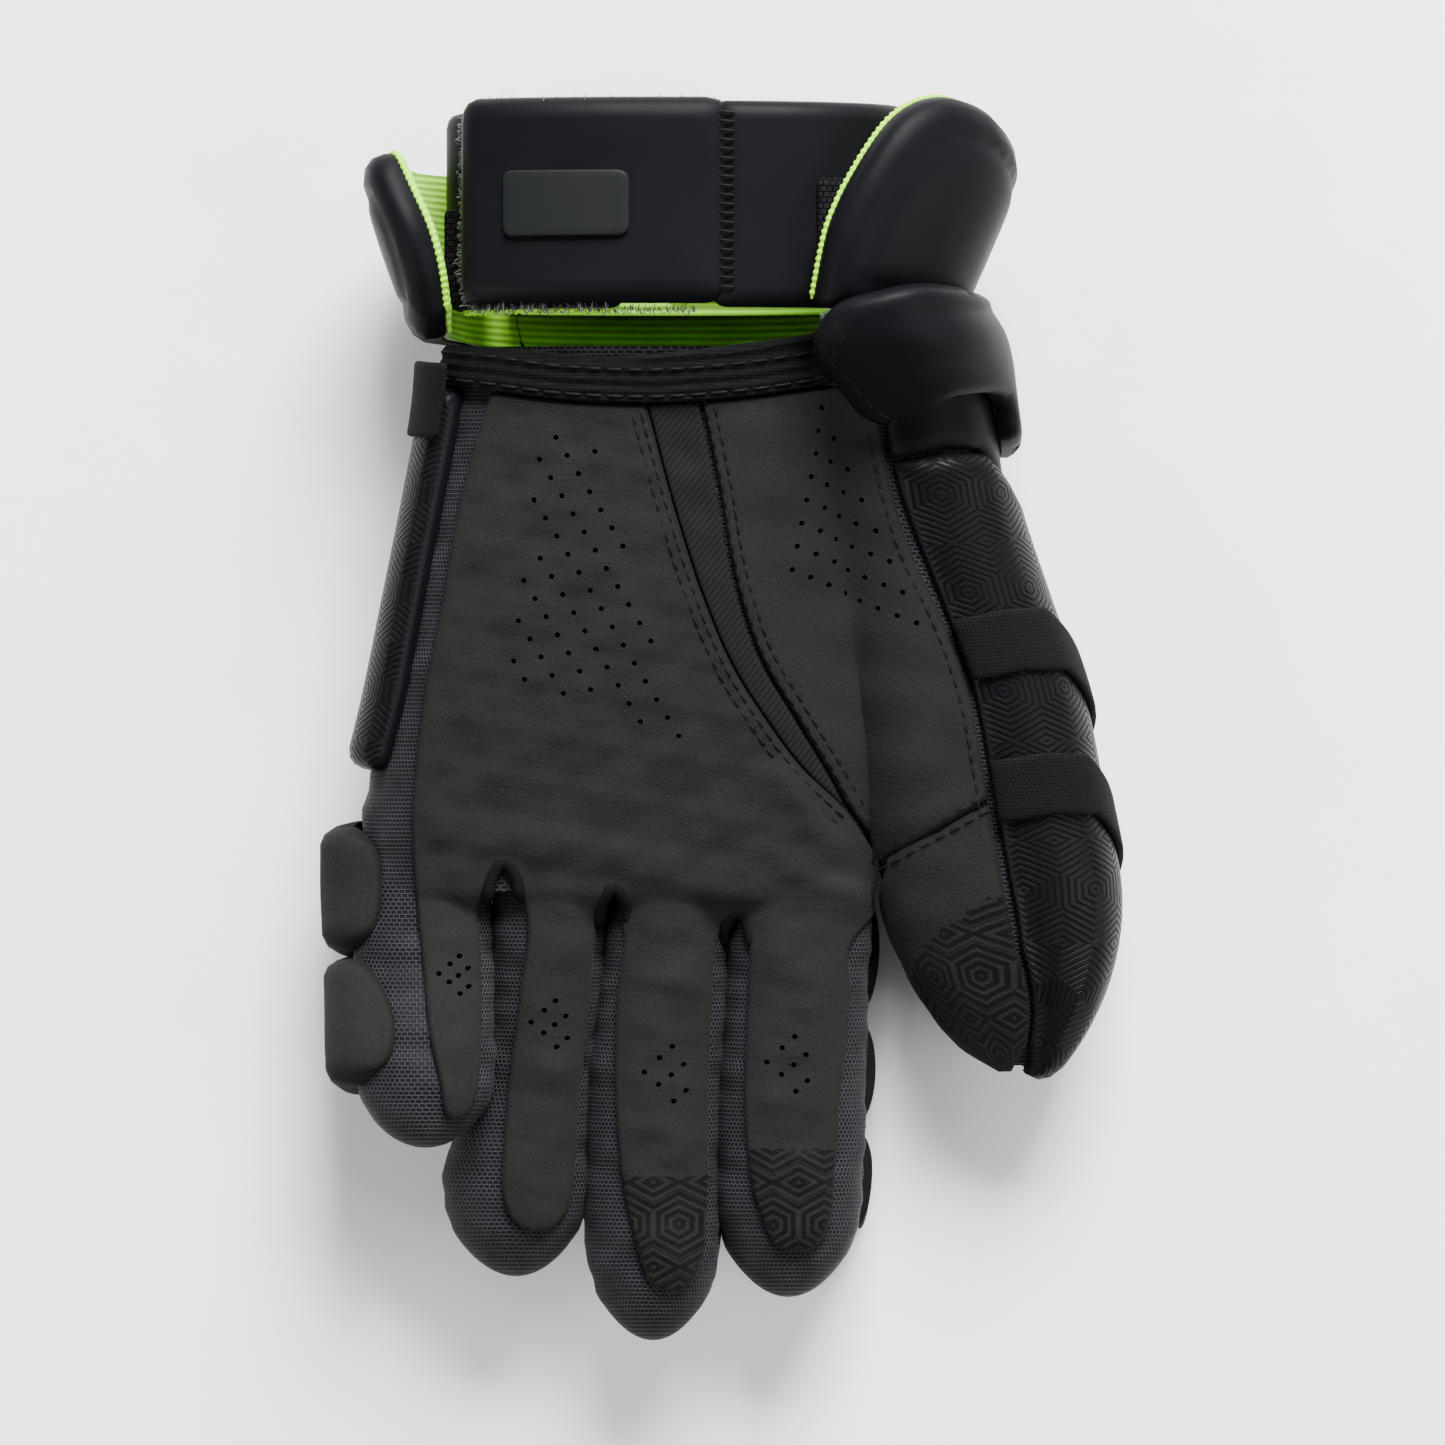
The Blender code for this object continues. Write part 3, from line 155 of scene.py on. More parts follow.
# The rise of each finger towards its tip.
# Columns: share of its length, lift and depth as shares of the finger's depth.
STRAIGHT_LIFT = [(0.0, 0.00, 1.00), (0.5, 0.00, 0.98), (1.0, 0.08, 0.90)]
PINKY_LIFT = [(0.0, 0.12, 1.00), (0.3, 0.26, 1.00), (0.62, 0.62, 0.96), (1.0, 0.86, 0.90)]

# The thumb, from under the cuff (0) to its tip (1).
# Columns: share of its length, centre as a share of its width from the palm's right edge,
# half width as a share of its width, underside and top as shares of its depth.
THUMB_ROWS = [
    (0.00, 0.065, 0.405, 0.38, 1.35),
    (0.11, 0.105, 0.415, 0.33, 1.30),
    (0.21, 0.150, 0.420, 0.28, 1.26),
    (0.345, 0.275, 0.440, 0.23, 1.23),
    (0.48, 0.405, 0.470, 0.21, 1.21),
    (0.62, 0.487, 0.485, 0.21, 1.17),
    (0.70, 0.535, 0.492, 0.22, 1.14),
    (1.00, 0.655, 0.492, 0.34, 1.06),
]

# The cuff, from the hand (0) to its open end (1).
# Columns: share of its length, centre as a share of its width from the palm's middle,
# half width as a share of its width, top as a share of its height.
CUFF_ROWS = [
    (-0.07, 0.108, 0.400, 0.88),
    (0.02, 0.108, 0.412, 0.91),
    (0.19, 0.110, 0.434, 0.96),
    (0.39, 0.113, 0.464, 0.99),
    (0.59, 0.117, 0.490, 1.00),
    (0.73, 0.118, 0.500, 1.00),
    (1.00, 0.113, 0.498, 1.00),
]

# The palm leather on each finger.
# Columns: share of the finger's length, left and right edge across it, from -1 to 1.
STRIPS = {
    "pinky": [(0.06, -0.06, 0.84), (0.27, 0.00, 0.84), (0.55, 0.09, 0.84), (0.76, 0.26, 0.80)],
    "ring": [(0.07, -0.36, 0.82), (0.28, -0.44, 0.80), (0.54, -0.34, 0.82), (0.76, -0.18, 0.80)],
    "middle": [(0.10, -0.66, 0.82), (0.25, -0.68, 0.76), (0.46, -0.56, 0.80),
               (0.66, -0.42, 0.82), (0.79, -0.22, 0.78)],
    "index": [(0.14, -0.67, 0.72), (0.27, -0.67, 0.77), (0.51, -0.63, 0.66),
              (0.70, -0.54, 0.62), (0.80, -0.38, 0.60)],
}
# Columns: where the strip's round end lies along and across the finger.
STRIP_ENDS = {
    "pinky": (0.885, 0.56),
    "ring": (0.875, 0.42),
    "middle": (0.885, 0.40),
    "index": (0.880, 0.14),
}
# Columns: where each slit's round head lies, right of the lane boundary and above the
# web line, as shares of the palm's width.
SLIT_HEADS = [(0.031, 0.043), (0.016, -0.006), (0.023, -0.050)]

# Outlines on the palm. Columns: share of the palm's width from its left edge, share of
# the hand's length above the web line.
PALM_LEFT_EDGE = [
    (0.271, 0.915), (0.248, 0.849), (0.211, 0.720), (0.176, 0.535), (0.145, 0.387),
    (0.124, 0.240), (0.116, 0.110),
]
STRIP_LEFT_EDGE = [
    (0.953, 0.144), (0.862, 0.231), (0.785, 0.332), (0.727, 0.424), (0.678, 0.535),
    (0.645, 0.627), (0.610, 0.738), (0.568, 0.890),
]
STRIP_RIGHT_EDGE = [
    (0.953, 0.144), (0.911, 0.221), (0.853, 0.314), (0.785, 0.424), (0.746, 0.526),
    (0.721, 0.627), (0.702, 0.738), (0.669, 0.893),
]
CROTCH = (1.008, -0.040)
CREASE_END = (1.016, 0.041)
THUMB_SEAM_START = (1.040, 0.060)
THENAR_CORNER = (0.940, 0.925)
BINDING_LOWER = [
    (0.175, 0.932), (0.271, 0.922), (0.407, 0.905), (0.581, 0.899), (0.756, 0.911),
    (0.930, 0.935),
]
BINDING_UPPER = [
    (0.915, 1.030), (0.795, 1.011), (0.640, 0.993), (0.484, 0.983), (0.329, 0.996),
    (0.190, 1.006),
]

# Cuff panels. Columns: angle round the form in degrees, share of the cuff's length.
WING_THUMB = [
    (64.5, 0.13), (65, 0.48), (60.5, 0.73), (52, 0.91), (40, 0.985), (24, 0.95), (8, 0.84),
    (-8, 0.74), (-24, 0.70),
]
WING_PINKY = [
    (158, 0.10), (152, 0.32), (153, 0.52), (163, 0.74), (176, 0.76), (190, 0.72), (205, 0.70),
]
BACK_LOW_ANGLE = 232.0
BACK_HIGH_ANGLE = 308.0
# The webbing tab over the upper end of the edge pad, in degrees round the hand
SIDE_TAB_LOW = 152.0
SIDE_TAB_HIGH = 196.0
# Where the wrist wrap's right panel ends under its tab, in degrees round the wrap
WRAP_SEAM = 75.0
FLARE_TOP = 0.70
BACK_TOP = 0.90

# How the joints in the thumb's padding run round it.
# Columns: angle in degrees, shift along the thumb as a share of its length.
THUMB_SWEEP = [(-80, -0.125), (-40, -0.103), (0, -0.050), (30, 0.010), (60, 0.016), (95, 0.0)]
# Where the joints start on the palm side, as shares of the thumb's length from its root.
SLEEVE_END = 0.155
UPPER_JOINT = 0.420
MIDDLE_JOINT = 0.612
BAND_HALF_WIDTH = 0.042
THUMB_BACK_ANGLE = -78.0
# The seam between the thumb's leather and its padding.
# Columns: share of the thumb's length, angle in degrees.
THUMB_SEAM = [
    (0.06, 96), (0.16, 92), (0.30, 88), (0.38, 84), (0.57, 82), (0.71, 82), (0.84, 77),
    (0.92, 66), (1.0, 58),
]
# Where the thumb strap runs, on the palm's grid: its free end and its lower edge, then its
# upper edge back.
STRAP_LOWER = [
    (0.905, 1.005), (0.950, 0.930), (1.012, 0.860), (1.075, 0.880), (1.160, 0.920),
    (1.235, 0.905),
]
STRAP_UPPER = [(1.195, 1.100), (1.100, 1.108), (1.005, 1.092), (0.918, 1.058)]
STRAP_SIDE = [(0.830, 8.0), (0.820, -28.0), (1.070, -28.0), (1.090, 8.0)]


def smooth(at, table_at, table):
    """A smooth curve through a table's values, flat beyond its ends."""
    table_at, table = np.asarray(table_at, float), np.asarray(table, float)
    at = np.clip(np.asarray(at, float), table_at[0], table_at[-1])
    slopes = np.gradient(table, table_at)
    i = np.clip(np.searchsorted(table_at, at) - 1, 0, len(table_at) - 2)
    span = table_at[i + 1] - table_at[i]
    t = (at - table_at[i]) / span
    return (
        table[i] * (1 + 2 * t) * (1 - t) ** 2
        + slopes[i] * span * t * (1 - t) ** 2
        + table[i + 1] * t * t * (3 - 2 * t)
        + slopes[i + 1] * span * t * t * (t - 1)
    )


def column(rows, number):
    return np.array([row[number] for row in rows], float)


class Form:
    """A tube along Y whose cross-section is a superellipse, with a rounded tip if it has one."""

    def __init__(self, y, centre_x, low, high, half_width, power, tip=None, grow=0.0):
        order = np.argsort(y)
        self.y = np.asarray(y, float)[order]
        rows = [centre_x, (low + high) / 2, half_width, (high - low) / 2, power * np.ones(len(y))]
        self.table = np.array(rows)[:, order]
        self.tip = tip
        self.grow = grow

    def grown(self, by):
        """The same form with its walls moved out by so much."""
        made = Form(self.y, *self.table[[0, 1, 1, 2, 4]], tip=self.tip, grow=self.grow + by)
        made.table = self.table
        return made

    def section(self, y):
        """Centre x and z, half width, half height and squareness at y."""
        x, z, half_width, half_height, power = (smooth(y, self.y, row) for row in self.table)
        half_width, half_height = half_width + self.grow, half_height + self.grow
        if self.tip:
            start, end, sharpness = self.tip
            share = np.clip((start - np.asarray(y, float)) / (start - end + self.grow), 0, 1)
            narrowing = np.maximum(1 - share**2, 1e-6) ** (sharpness / 2)
            half_width, half_height = half_width * narrowing, half_height * narrowing
        return x, z, half_width, half_height, power

    def around(self, angle, y, offset=0.0):
        """Points at an angle in degrees round the form, 0 at +X and 90 at +Z, set off from it."""
        angle, y = np.radians(np.asarray(angle, float)), np.asarray(y, float)
        x, z, half_width, half_height, power = self.section(y)
        c, s = np.cos(angle), np.sin(angle)
        unit_x = np.sign(c) * np.abs(c) ** (2 / power)
        unit_z = np.sign(s) * np.abs(s) ** (2 / power)
        step = 0.25
        above, below = self.section(y + step), self.section(y - step)
        slope_x, slope_z, slope_w, slope_h = ((a - b) / (2 * step) for a, b in zip(above[:4], below[:4]))
        normal_x = np.sign(unit_x) * np.abs(unit_x) ** (power - 1) / half_width
        normal_z = np.sign(unit_z) * np.abs(unit_z) ** (power - 1) / half_height
        normal_y = -(normal_x * (slope_x + unit_x * slope_w) + normal_z * (slope_z + unit_z * slope_h))
        points = np.stack([x + half_width * unit_x, y + 0 * unit_x, z + half_height * unit_z], -1)
        normal = np.stack([normal_x, normal_y, normal_z], -1)
        normal /= np.linalg.norm(normal, axis=-1, keepdims=True)
        return points + normal * np.asarray(offset, float)[..., None]

    def top(self, x, y):
        """The height of the form's upper side over a point of the floor."""
        centre, z, half_width, half_height, power = self.section(y)
        across = np.clip(np.abs((x - centre) / half_width), 0, 0.985)
        return z + half_height * (1 - across**power) ** (1 / power)

    def at_across(self, across, y):
        """The x that lies so far across the form, from -1 at its left to 1 at its right."""
        centre, _, half_width, _, _ = self.section(y)
        return centre + across * half_width


def finger_lanes():
    """For each finger, its name, its length, and its left and right edge as functions of y."""
    starts = [PALM_LEFT]
    for width in (PINKY_WIDTH, RING_WIDTH, MIDDLE_WIDTH):
        starts.append(starts[-1] + width + FINGER_GAP)
    names = ["pinky", "ring", "middle", "index"]
    widths = [PINKY_WIDTH, RING_WIDTH, MIDDLE_WIDTH, INDEX_WIDTH]
    lengths = [PINKY_LENGTH, RING_LENGTH, MIDDLE_LENGTH, INDEX_LENGTH]
    lean_columns = [(1, 2), (3, 4), (4, 5), (5, 6)]
    depth = column(LEAN, 0) * MIDDLE_LENGTH

    def edge(start, number):
        return lambda y: start + PALM_WIDTH * smooth(-np.asarray(y, float), depth, column(LEAN, number))

    return {
        name: (length, edge(start, columns[0]), edge(start + width, columns[1]))
        for name, start, width, length, columns in zip(names, starts, widths, lengths, lean_columns)
    }


LANES = finger_lanes()


def finger_form(name):
    length, left, right = LANES[name]
    rows = PINKY_LIFT if name == "pinky" else STRAIGHT_LIFT
    depth = PINKY_DEPTH if name == "pinky" else FINGER_DEPTH
    share = np.linspace(-0.2, 1, 13)
    y = -share * length
    low = FINGER_PAD + SEAT + depth * smooth(share, column(rows, 0), column(rows, 1))
    high = low + depth * smooth(share, column(rows, 0), column(rows, 2))
    tip = (-(1 - TIP_ROUNDING) * length, -length, 1.0)
    return Form(y, (left(y) + right(y)) / 2, low, high, (right(y) - left(y)) / 2, SQUARENESS, tip)


def hand_form():
    share = column(HAND_ROWS, 0)
    left = PALM_LEFT + PALM_WIDTH * column(HAND_ROWS, 1)
    right = PALM_LEFT + PALM_WIDTH * column(HAND_ROWS, 2)
    low = BACK_PAD * column(HAND_ROWS, 3)
    high = low + HAND_DEPTH * column(HAND_ROWS, 4)
    y = HAND_LENGTH * (1 - share)
    return Form(y, (left + right) / 2, low, high, (right - left) / 2, column(HAND_ROWS, 5))


def thumb_y(share):
    """Y at a share of the thumb's length from its root."""
    return HAND_LENGTH - share * THUMB_LENGTH


def thumb_seam(y):
    """The angle of the seam between the thumb's leather and its padding."""
    share = (HAND_LENGTH - np.asarray(y, float)) / THUMB_LENGTH
    return smooth(share, column(THUMB_SEAM, 0), column(THUMB_SEAM, 1))


def thumb_form():
    centre = PALM_LEFT + PALM_WIDTH + THUMB_WIDTH * column(THUMB_ROWS, 1)
    low, high = THUMB_DEPTH * column(THUMB_ROWS, 3), THUMB_DEPTH * column(THUMB_ROWS, 4)
    half_width = THUMB_WIDTH * column(THUMB_ROWS, 2)
    tip = (thumb_y(THUMB_ROUND_START), thumb_y(1.0), THUMB_ROUNDING)
    return Form(thumb_y(column(THUMB_ROWS, 0)), centre, low, high, half_width, SQUARENESS, tip)


def cuff_y(share):
    """Y at a share of the cuff's length from the wrist edge."""
    return HAND_LENGTH + share * CUFF_LENGTH


def cuff_form():
    centre = PALM_LEFT + PALM_WIDTH / 2 + CUFF_WIDTH * column(CUFF_ROWS, 1)
    half_width = CUFF_WIDTH * column(CUFF_ROWS, 2)
    low = -FLOOR_SINK * np.ones(len(CUFF_ROWS))
    high = CUFF_HEIGHT * column(CUFF_ROWS, 3)
    return Form(cuff_y(column(CUFF_ROWS, 0)), centre, low, high, half_width, SQUARENESS)


def wrap_form():
    """The face between the wrist wrap's inner and outer layers."""
    y = cuff_y(np.array([0.0, 0.5, 1.0]))
    centre = PALM_LEFT + PALM_WIDTH / 2 + 0.078 * CUFF_WIDTH
    low = CUFF_STACK + WRAP_WALL + 4 * LAYER_GAP
    flat = np.ones(3)
    return Form(y, centre * flat, low * flat, WRAP_TOP * flat, WRAP_WIDTH / 2 * flat, SQUARENESS)


HAND = hand_form()
THUMB = thumb_form()
FINGERS = {name: finger_form(name) for name in LANES}
CUFF = cuff_form()
WRAP = wrap_form()


def soft_max(a, b, reach=5.0):
    return np.maximum(a, b) + np.maximum(reach - np.abs(a - b), 0) ** 2 / (4 * reach)


def palm_height(x, y):
    """The height of the palm side over a point of the floor: hand, fingers and thumb blended."""
    fade = 0.7
    height = HAND.top(x, np.maximum(y, 0)) - fade * np.maximum(-y, 0)
    for form in FINGERS.values():
        centre, _, half_width, _, _ = form.section(y)
        outside = np.maximum(np.abs(x - centre) - half_width, 0)
        inside_lane = form.top(x, np.minimum(y, 0)) - fade * np.maximum(y, 0) - 6 * outside
        height = soft_max(height, inside_lane, 2.0)
    centre, _, half_width, _, _ = THUMB.section(y)
    outside = np.maximum(np.abs(x - centre) - half_width, 0)
    return soft_max(height, THUMB.top(x, y) - 3 * outside, 6.0)


def palm_slope(x, y):
    """The palm side's height over a point of the floor, and its slopes along x and y."""
    step = 0.6
    slope_x = (palm_height(x + step, y) - palm_height(x - step, y)) / (2 * step)
    slope_y = (palm_height(x, y + step) - palm_height(x, y - step)) / (2 * step)
    return palm_height(x, y), np.clip(slope_x, -2.2, 2.2), np.clip(slope_y, -2.2, 2.2)


def on_palm(x, y, offset):
    """Points set off from the palm side, square to it."""
    height, slope_x, slope_y = palm_slope(x, y)
    normal = np.stack([-slope_x, -slope_y, np.ones_like(x)], -1)
    normal /= np.linalg.norm(normal, axis=-1, keepdims=True)
    return np.stack([x, y, height], -1) + normal * np.asarray(offset, float)[..., None]


def palm_points(shares):
    """Outline points on the palm, from shares of its width and of the hand's length."""
    return [(PALM_LEFT + PALM_WIDTH * u, HAND_LENGTH * v) for u, v in shares]


def curved(points, step, closed=False):
    """Points about a step apart on a smooth curve through the given ones."""
    points = np.array(points, float)
    if closed:
        points = np.vstack([points[-1], points, points[:2]])
    else:
        points = np.vstack([2 * points[0] - points[1], points, 2 * points[-1] - points[-2]])
    made = []
    for a, b, c, d in zip(points, points[1:], points[2:], points[3:]):
        count = max(1, round(np.linalg.norm(c - b) / step))
        for t in np.arange(count) / count:
            square, cube = 2 * a - 5 * b + 4 * c - d, 3 * b - a - 3 * c + d
            made.append(0.5 * (2 * b + (c - a) * t + square * t**2 + cube * t**3))
    if not closed:
        made.append(points[-2])
    return [tuple(p) for p in made]


def rounded_box(left, right, low, high, radius, step=30.0):
    """A rectangle's outline with round corners, the straight sides cut at most a step apart."""
    made = []
    corners = [(right, high, 0), (left, high, 90), (left, low, 180), (right, low, 270)]
    for x, y, turn in corners:
        cx = x - radius if x == right else x + radius
        cy = y - radius if y == high else y + radius
        for angle in np.radians([turn, turn + 30, turn + 60, turn + 90]):
            made.append((cx + radius * math.cos(angle), cy + radius * math.sin(angle)))
    return split_sides(made, step)


def split_sides(points, step):
    """The same outline with its long sides cut into lengths of at most a step."""
    made = []
    for (x0, y0), (x1, y1) in zip(points, points[1:] + points[:1]):
        count = max(1, math.ceil(math.hypot(x1 - x0, y1 - y0) / step))
        made += [(x0 + (x1 - x0) * i / count, y0 + (y1 - y0) * i / count) for i in range(count)]
    return made


def distance_to(outline, points):
    """How far each point lies from a closed outline."""
    a = np.array(outline, float)
    b = np.roll(a, -1, axis=0)
    side = b - a
    rel = points[:, None, :] - a[None]
    t = np.clip((rel * side).sum(-1) / np.maximum((side**2).sum(-1), 1e-12), 0, 1)
    return np.sqrt(((rel - t[..., None] * side) ** 2).sum(-1)).min(1)


def inside(outline, points):
    """Whether each point lies inside a closed outline."""
    a = np.array(outline, float)
    b = np.roll(a, -1, axis=0)
    found = np.zeros(len(points), bool)
    for (ax, ay), (bx, by) in zip(a, b):
        crosses = (ay > points[:, 1]) != (by > points[:, 1])
        with np.errstate(divide="ignore", invalid="ignore"):
            at = ax + (points[:, 1] - ay) * (bx - ax) / (by - ay)
        found ^= crosses & (points[:, 0] < at)
    return found


def round_plane(form, y_middle):
    """How many millimetres of a form's girth one degree takes, near the given y."""
    _, _, half_width, half_height, _ = form.section(y_middle)
    return float(math.radians(1) * (half_width + half_height) / 2)


def bridge(start_a, start_b, sides):
    made = []
    for i in range(sides):
        j = (i + 1) % sides
        made.append((start_a + i, start_a + j, start_b + j, start_b + i))
    return made


def strip_outline(name):
    """The palm leather's edge on one finger: down its left side, round its end and up."""
    form, length = FINGERS[name], LANES[name][0]
    last, low, high = STRIPS[name][-1]
    share, across = STRIP_ENDS[name]
    near_end = last + 0.78 * (share - last)
    turn = [(near_end, 0.3 * across + 0.7 * low), (share, across), (near_end, 0.3 * across + 0.7 * high)]
    edge = [(t, a) for t, a, _ in STRIPS[name]] + turn + [(t, b) for t, _, b in reversed(STRIPS[name])]
    return [(form.at_across(a, -t * length), -t * length) for t, a in edge]


def slit_head(number, name):
    _, _, right = LANES[name]
    u, v = SLIT_HEADS[number]
    return (float(right(0.0)) + PALM_WIDTH * u, PALM_WIDTH * v)


def binding_edge(first_x, last_x):
    """Points just below the wrist binding, from one x to another."""
    u, v = column(BINDING_LOWER, 0), column(BINDING_LOWER, 1)
    count = max(2, round(abs(last_x - first_x) / 9) + 1)
    xs = np.linspace(first_x, last_x, count)
    return [(x, HAND_LENGTH * float(smooth((x - PALM_LEFT) / PALM_WIDTH, u, v)) - 2 * GAP) for x in xs]


def thumb_seam_point(y, degrees):
    """The point of the floor under the thumb's seam, so many degrees to its palm side."""
    point = THUMB.around(thumb_seam(y) + degrees, y)
    return (float(point[0]), float(y))


def thumb_joint(share, angle):
    """Y of a joint in the thumb's padding, at an angle round it."""
    sweep = smooth(angle, column(THUMB_SWEEP, 0), column(THUMB_SWEEP, 1))
    return thumb_y(share) + THUMB_LENGTH * sweep


def thumb_ring(first, last, low_angle):
    """An outline round the thumb between two of its joints, up to its seam."""
    edges = []
    for share in (first, last):
        angles = np.linspace(low_angle, float(thumb_seam(thumb_y(share))), 7)
        edges.append([(a, float(thumb_joint(share, a))) for a in angles])
    return edges[0] + edges[1][::-1]


def thumb_pad_height(angle, y):
    """The padding is thin at the palm seam and full round the side and back."""
    return THUMB_PAD * (0.3 + 0.7 * np.clip((thumb_seam(y) - angle) / 50, 0, 1) ** 0.7)


def upper_angle(form, x, y):
    """The angle of the point on a form's upper side that lies over a point of the floor."""
    centre, _, half_width, _, power = (float(v) for v in form.section(y))
    across = min(max((x - centre) / half_width, -0.985), 0.985)
    cosine = math.copysign(abs(across) ** (power / 2), across)
    return math.degrees(math.acos(cosine))


def cuff_points(shares):
    return [(a, float(cuff_y(v))) for a, v in shares]


def strap_form():
    """Where the thumb strap lies: over the wing at the cuff, over the sleeve by the hand."""
    ys = np.linspace(HAND_LENGTH - 28.0, float(cuff_y(0.30)), 9)
    past_hand, short_of_cuff = np.maximum(ys - HAND_LENGTH, 0), np.maximum(HAND_LENGTH - ys, 0)
    cuff_x, cuff_z, cuff_w, cuff_h, _ = CUFF.section(ys)
    thumb_x, thumb_z, thumb_w, thumb_h, _ = THUMB.section(ys)
    over_sleeve = SEAT + THUMB_SLEEVE + LAYER_GAP - 0.6 * past_hand
    over_cuff = -0.9 * short_of_cuff
    right = np.maximum(cuff_x + cuff_w + over_cuff, thumb_x + thumb_w + over_sleeve)
    high = np.maximum(cuff_z + cuff_h + over_cuff, thumb_z + thumb_h + over_sleeve)
    low = np.minimum(cuff_z - cuff_h - over_cuff, thumb_z - thumb_h - over_sleeve)
    left = thumb_x - thumb_w - over_sleeve - 1.2 * past_hand
    return Form(ys, (left + right) / 2, low, high, (right - left) / 2, SQUARENESS)


HAND_YS = np.linspace(HAND_LENGTH, 0, 7)
HAND_LEFT = float((HAND.section(HAND_YS)[0] - HAND.section(HAND_YS)[2]).min())
HAND_LOW, HAND_HIGH = (Vector(corner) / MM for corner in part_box("hand_shell"))
TO_FRAME = np.array([HAND_LOW.x - HAND_LEFT, HAND_HIGH.y - HAND_LENGTH, 0.0])
STRAP = strap_form()


def from_srgb(colour):
    """Linear values of an sRGB hex colour."""
    values = [int(colour[i : i + 2], 16) / 255 for i in (1, 3, 5)]
    return tuple(v / 12.92 if v <= 0.04045 else ((v + 0.055) / 1.055) ** 2.4 for v in values)


def feed(tree, node, inputs):
    """Sets or links each of a node's inputs."""
    for key, value in dict(inputs).items():
        if isinstance(value, bpy.types.NodeSocket):
            tree.links.new(value, node.inputs[key])
        else:
            node.inputs[key].default_value = value


def put(tree, kind, inputs=(), **settings):
    """Adds a node, sets its properties, and sets or links each of its inputs."""
    made = tree.nodes.new(kind)
    for name, value in settings.items():
        setattr(made, name, value)
    feed(tree, made, inputs)
    return made


def crinkle(x, y, size, seed=0.0):
    """Smooth unevenness between about -1 and 1, its humps about one size across."""
    k = math.pi / size
    total = np.sin(k * (0.91 * x + 0.42 * y) + 1.3 * seed)
    total = total + np.sin(k * (-0.47 * x + 0.88 * y) * 1.17 + 2.1 + seed)
    total = total + np.sin(k * (0.64 * x - 0.77 * y) * 0.83 + 4.2 - 0.7 * seed)
    return (total + np.sin(k * (0.18 * x + 0.98 * y) * 1.53 + 0.9 * seed)) / 2.6


def ridge(x, y, ends, width):
    """A smooth bump of height 1 along the line between two points."""
    (ax, ay), (bx, by) = ends
    length = math.hypot(bx - ax, by - ay)
    t = np.clip(((x - ax) * (bx - ax) + (y - ay) * (by - ay)) / length**2, 0, 1)
    away = np.hypot(x - ax - t * (bx - ax), y - ay - t * (by - ay))
    return np.exp(-((away / width) ** 2)) * np.sin(math.pi * (0.12 + 0.76 * t)) ** 0.6


def signed_area(corners):
    """The area of an outline, below zero where its points run clockwise."""
    ahead = np.roll(corners, -1, 0)
    return (corners[:, 0] * ahead[:, 1] - corners[:, 1] * ahead[:, 0]).sum() / 2


def ring_in(corners, outline, distance):
    """The outline's points moved in by a distance, where they stay that far from it."""
    side = np.roll(corners, -1, 0) - np.roll(corners, 1, 0)
    inward = np.stack([-side[:, 1], side[:, 0]], -1)
    inward /= np.maximum(np.linalg.norm(side, axis=1, keepdims=True), 1e-9)
    if signed_area(corners) < 0:
        inward = -inward
    ring = corners + inward * distance
    return ring[inside(outline, ring) & (distance_to(outline, ring) > 0.93 * distance)]


def thinned(points, least):
    """The points without those that lie too near one that is kept."""
    kept = []
    for point in points:
        if not kept or np.hypot(*(np.array(kept[-40:]) - point).T).min() > least:
            kept.append(point)
    return np.array(kept).reshape(-1, 2)


def filled(outline, spacing, edge, holes=(), hole_radius=0.0):
    """Triangles that fill an outline round its holes, with rings of points near its edge."""
    corners = np.array(outline, float)
    rings = [ring_in(corners, outline, edge * share) for share in (0.14, 0.45, 1.0)]
    rings = [thinned(r, 0.45 * spacing) if len(r) else r.reshape(-1, 2) for r in rings]
    low, high = corners.min(0), corners.max(0)
    rows = np.arange(low[1] + spacing / 2, high[1], spacing * 0.87)
    across = np.arange(low[0], high[0], spacing)
    grid = np.array([(x + spacing / 2 * (i % 2), y) for i, y in enumerate(rows) for x in across])
    grid = grid.reshape(-1, 2)
    grid = grid[inside(outline, grid)]
    grid = grid[distance_to(outline, grid) > edge + 0.4 * spacing] if len(grid) else grid
    holes = np.array(holes, float).reshape(-1, 2)
    for centre in holes:
        grid = grid[np.hypot(*(grid - centre).T) > hole_radius + 0.35 * spacing]
    turns = np.radians(np.arange(0, 360, 45))
    circle = hole_radius * np.stack([np.cos(turns), np.sin(turns)], -1)
    loops = [centre + circle for centre in holes]
    parts = [corners, *loops, *rings, grid]
    points = [Vector(p) for part in parts for p in part]
    edges, start = [], 0
    for part in parts[: 1 + len(loops)]:
        edges += [(start + i, start + (i + 1) % len(part)) for i in range(len(part))]
        start += len(part)
    found = delaunay_2d_cdt(points, edges, [list(range(len(corners)))], 1, 1e-6)
    flat = np.array([tuple(v) for v in found[0]])
    faces = np.array([tuple(f) for f in found[2]])
    middles = flat[faces].mean(1)
    for centre in holes:
        clear = np.hypot(*(middles - centre).T) > 0.95 * hole_radius
        faces, middles = faces[clear], middles[clear]
    return flat, faces


def border_of(faces):
    """The directed edges that only one face has."""
    ends = np.concatenate([faces[:, [0, 1]], faces[:, [1, 2]], faces[:, [2, 0]]])
    keys = ends[:, 0].astype(np.int64) * (ends.max() + 1) + ends[:, 1]
    back = ends[:, 1].astype(np.int64) * (ends.max() + 1) + ends[:, 0]
    return ends[~np.isin(keys, back)]


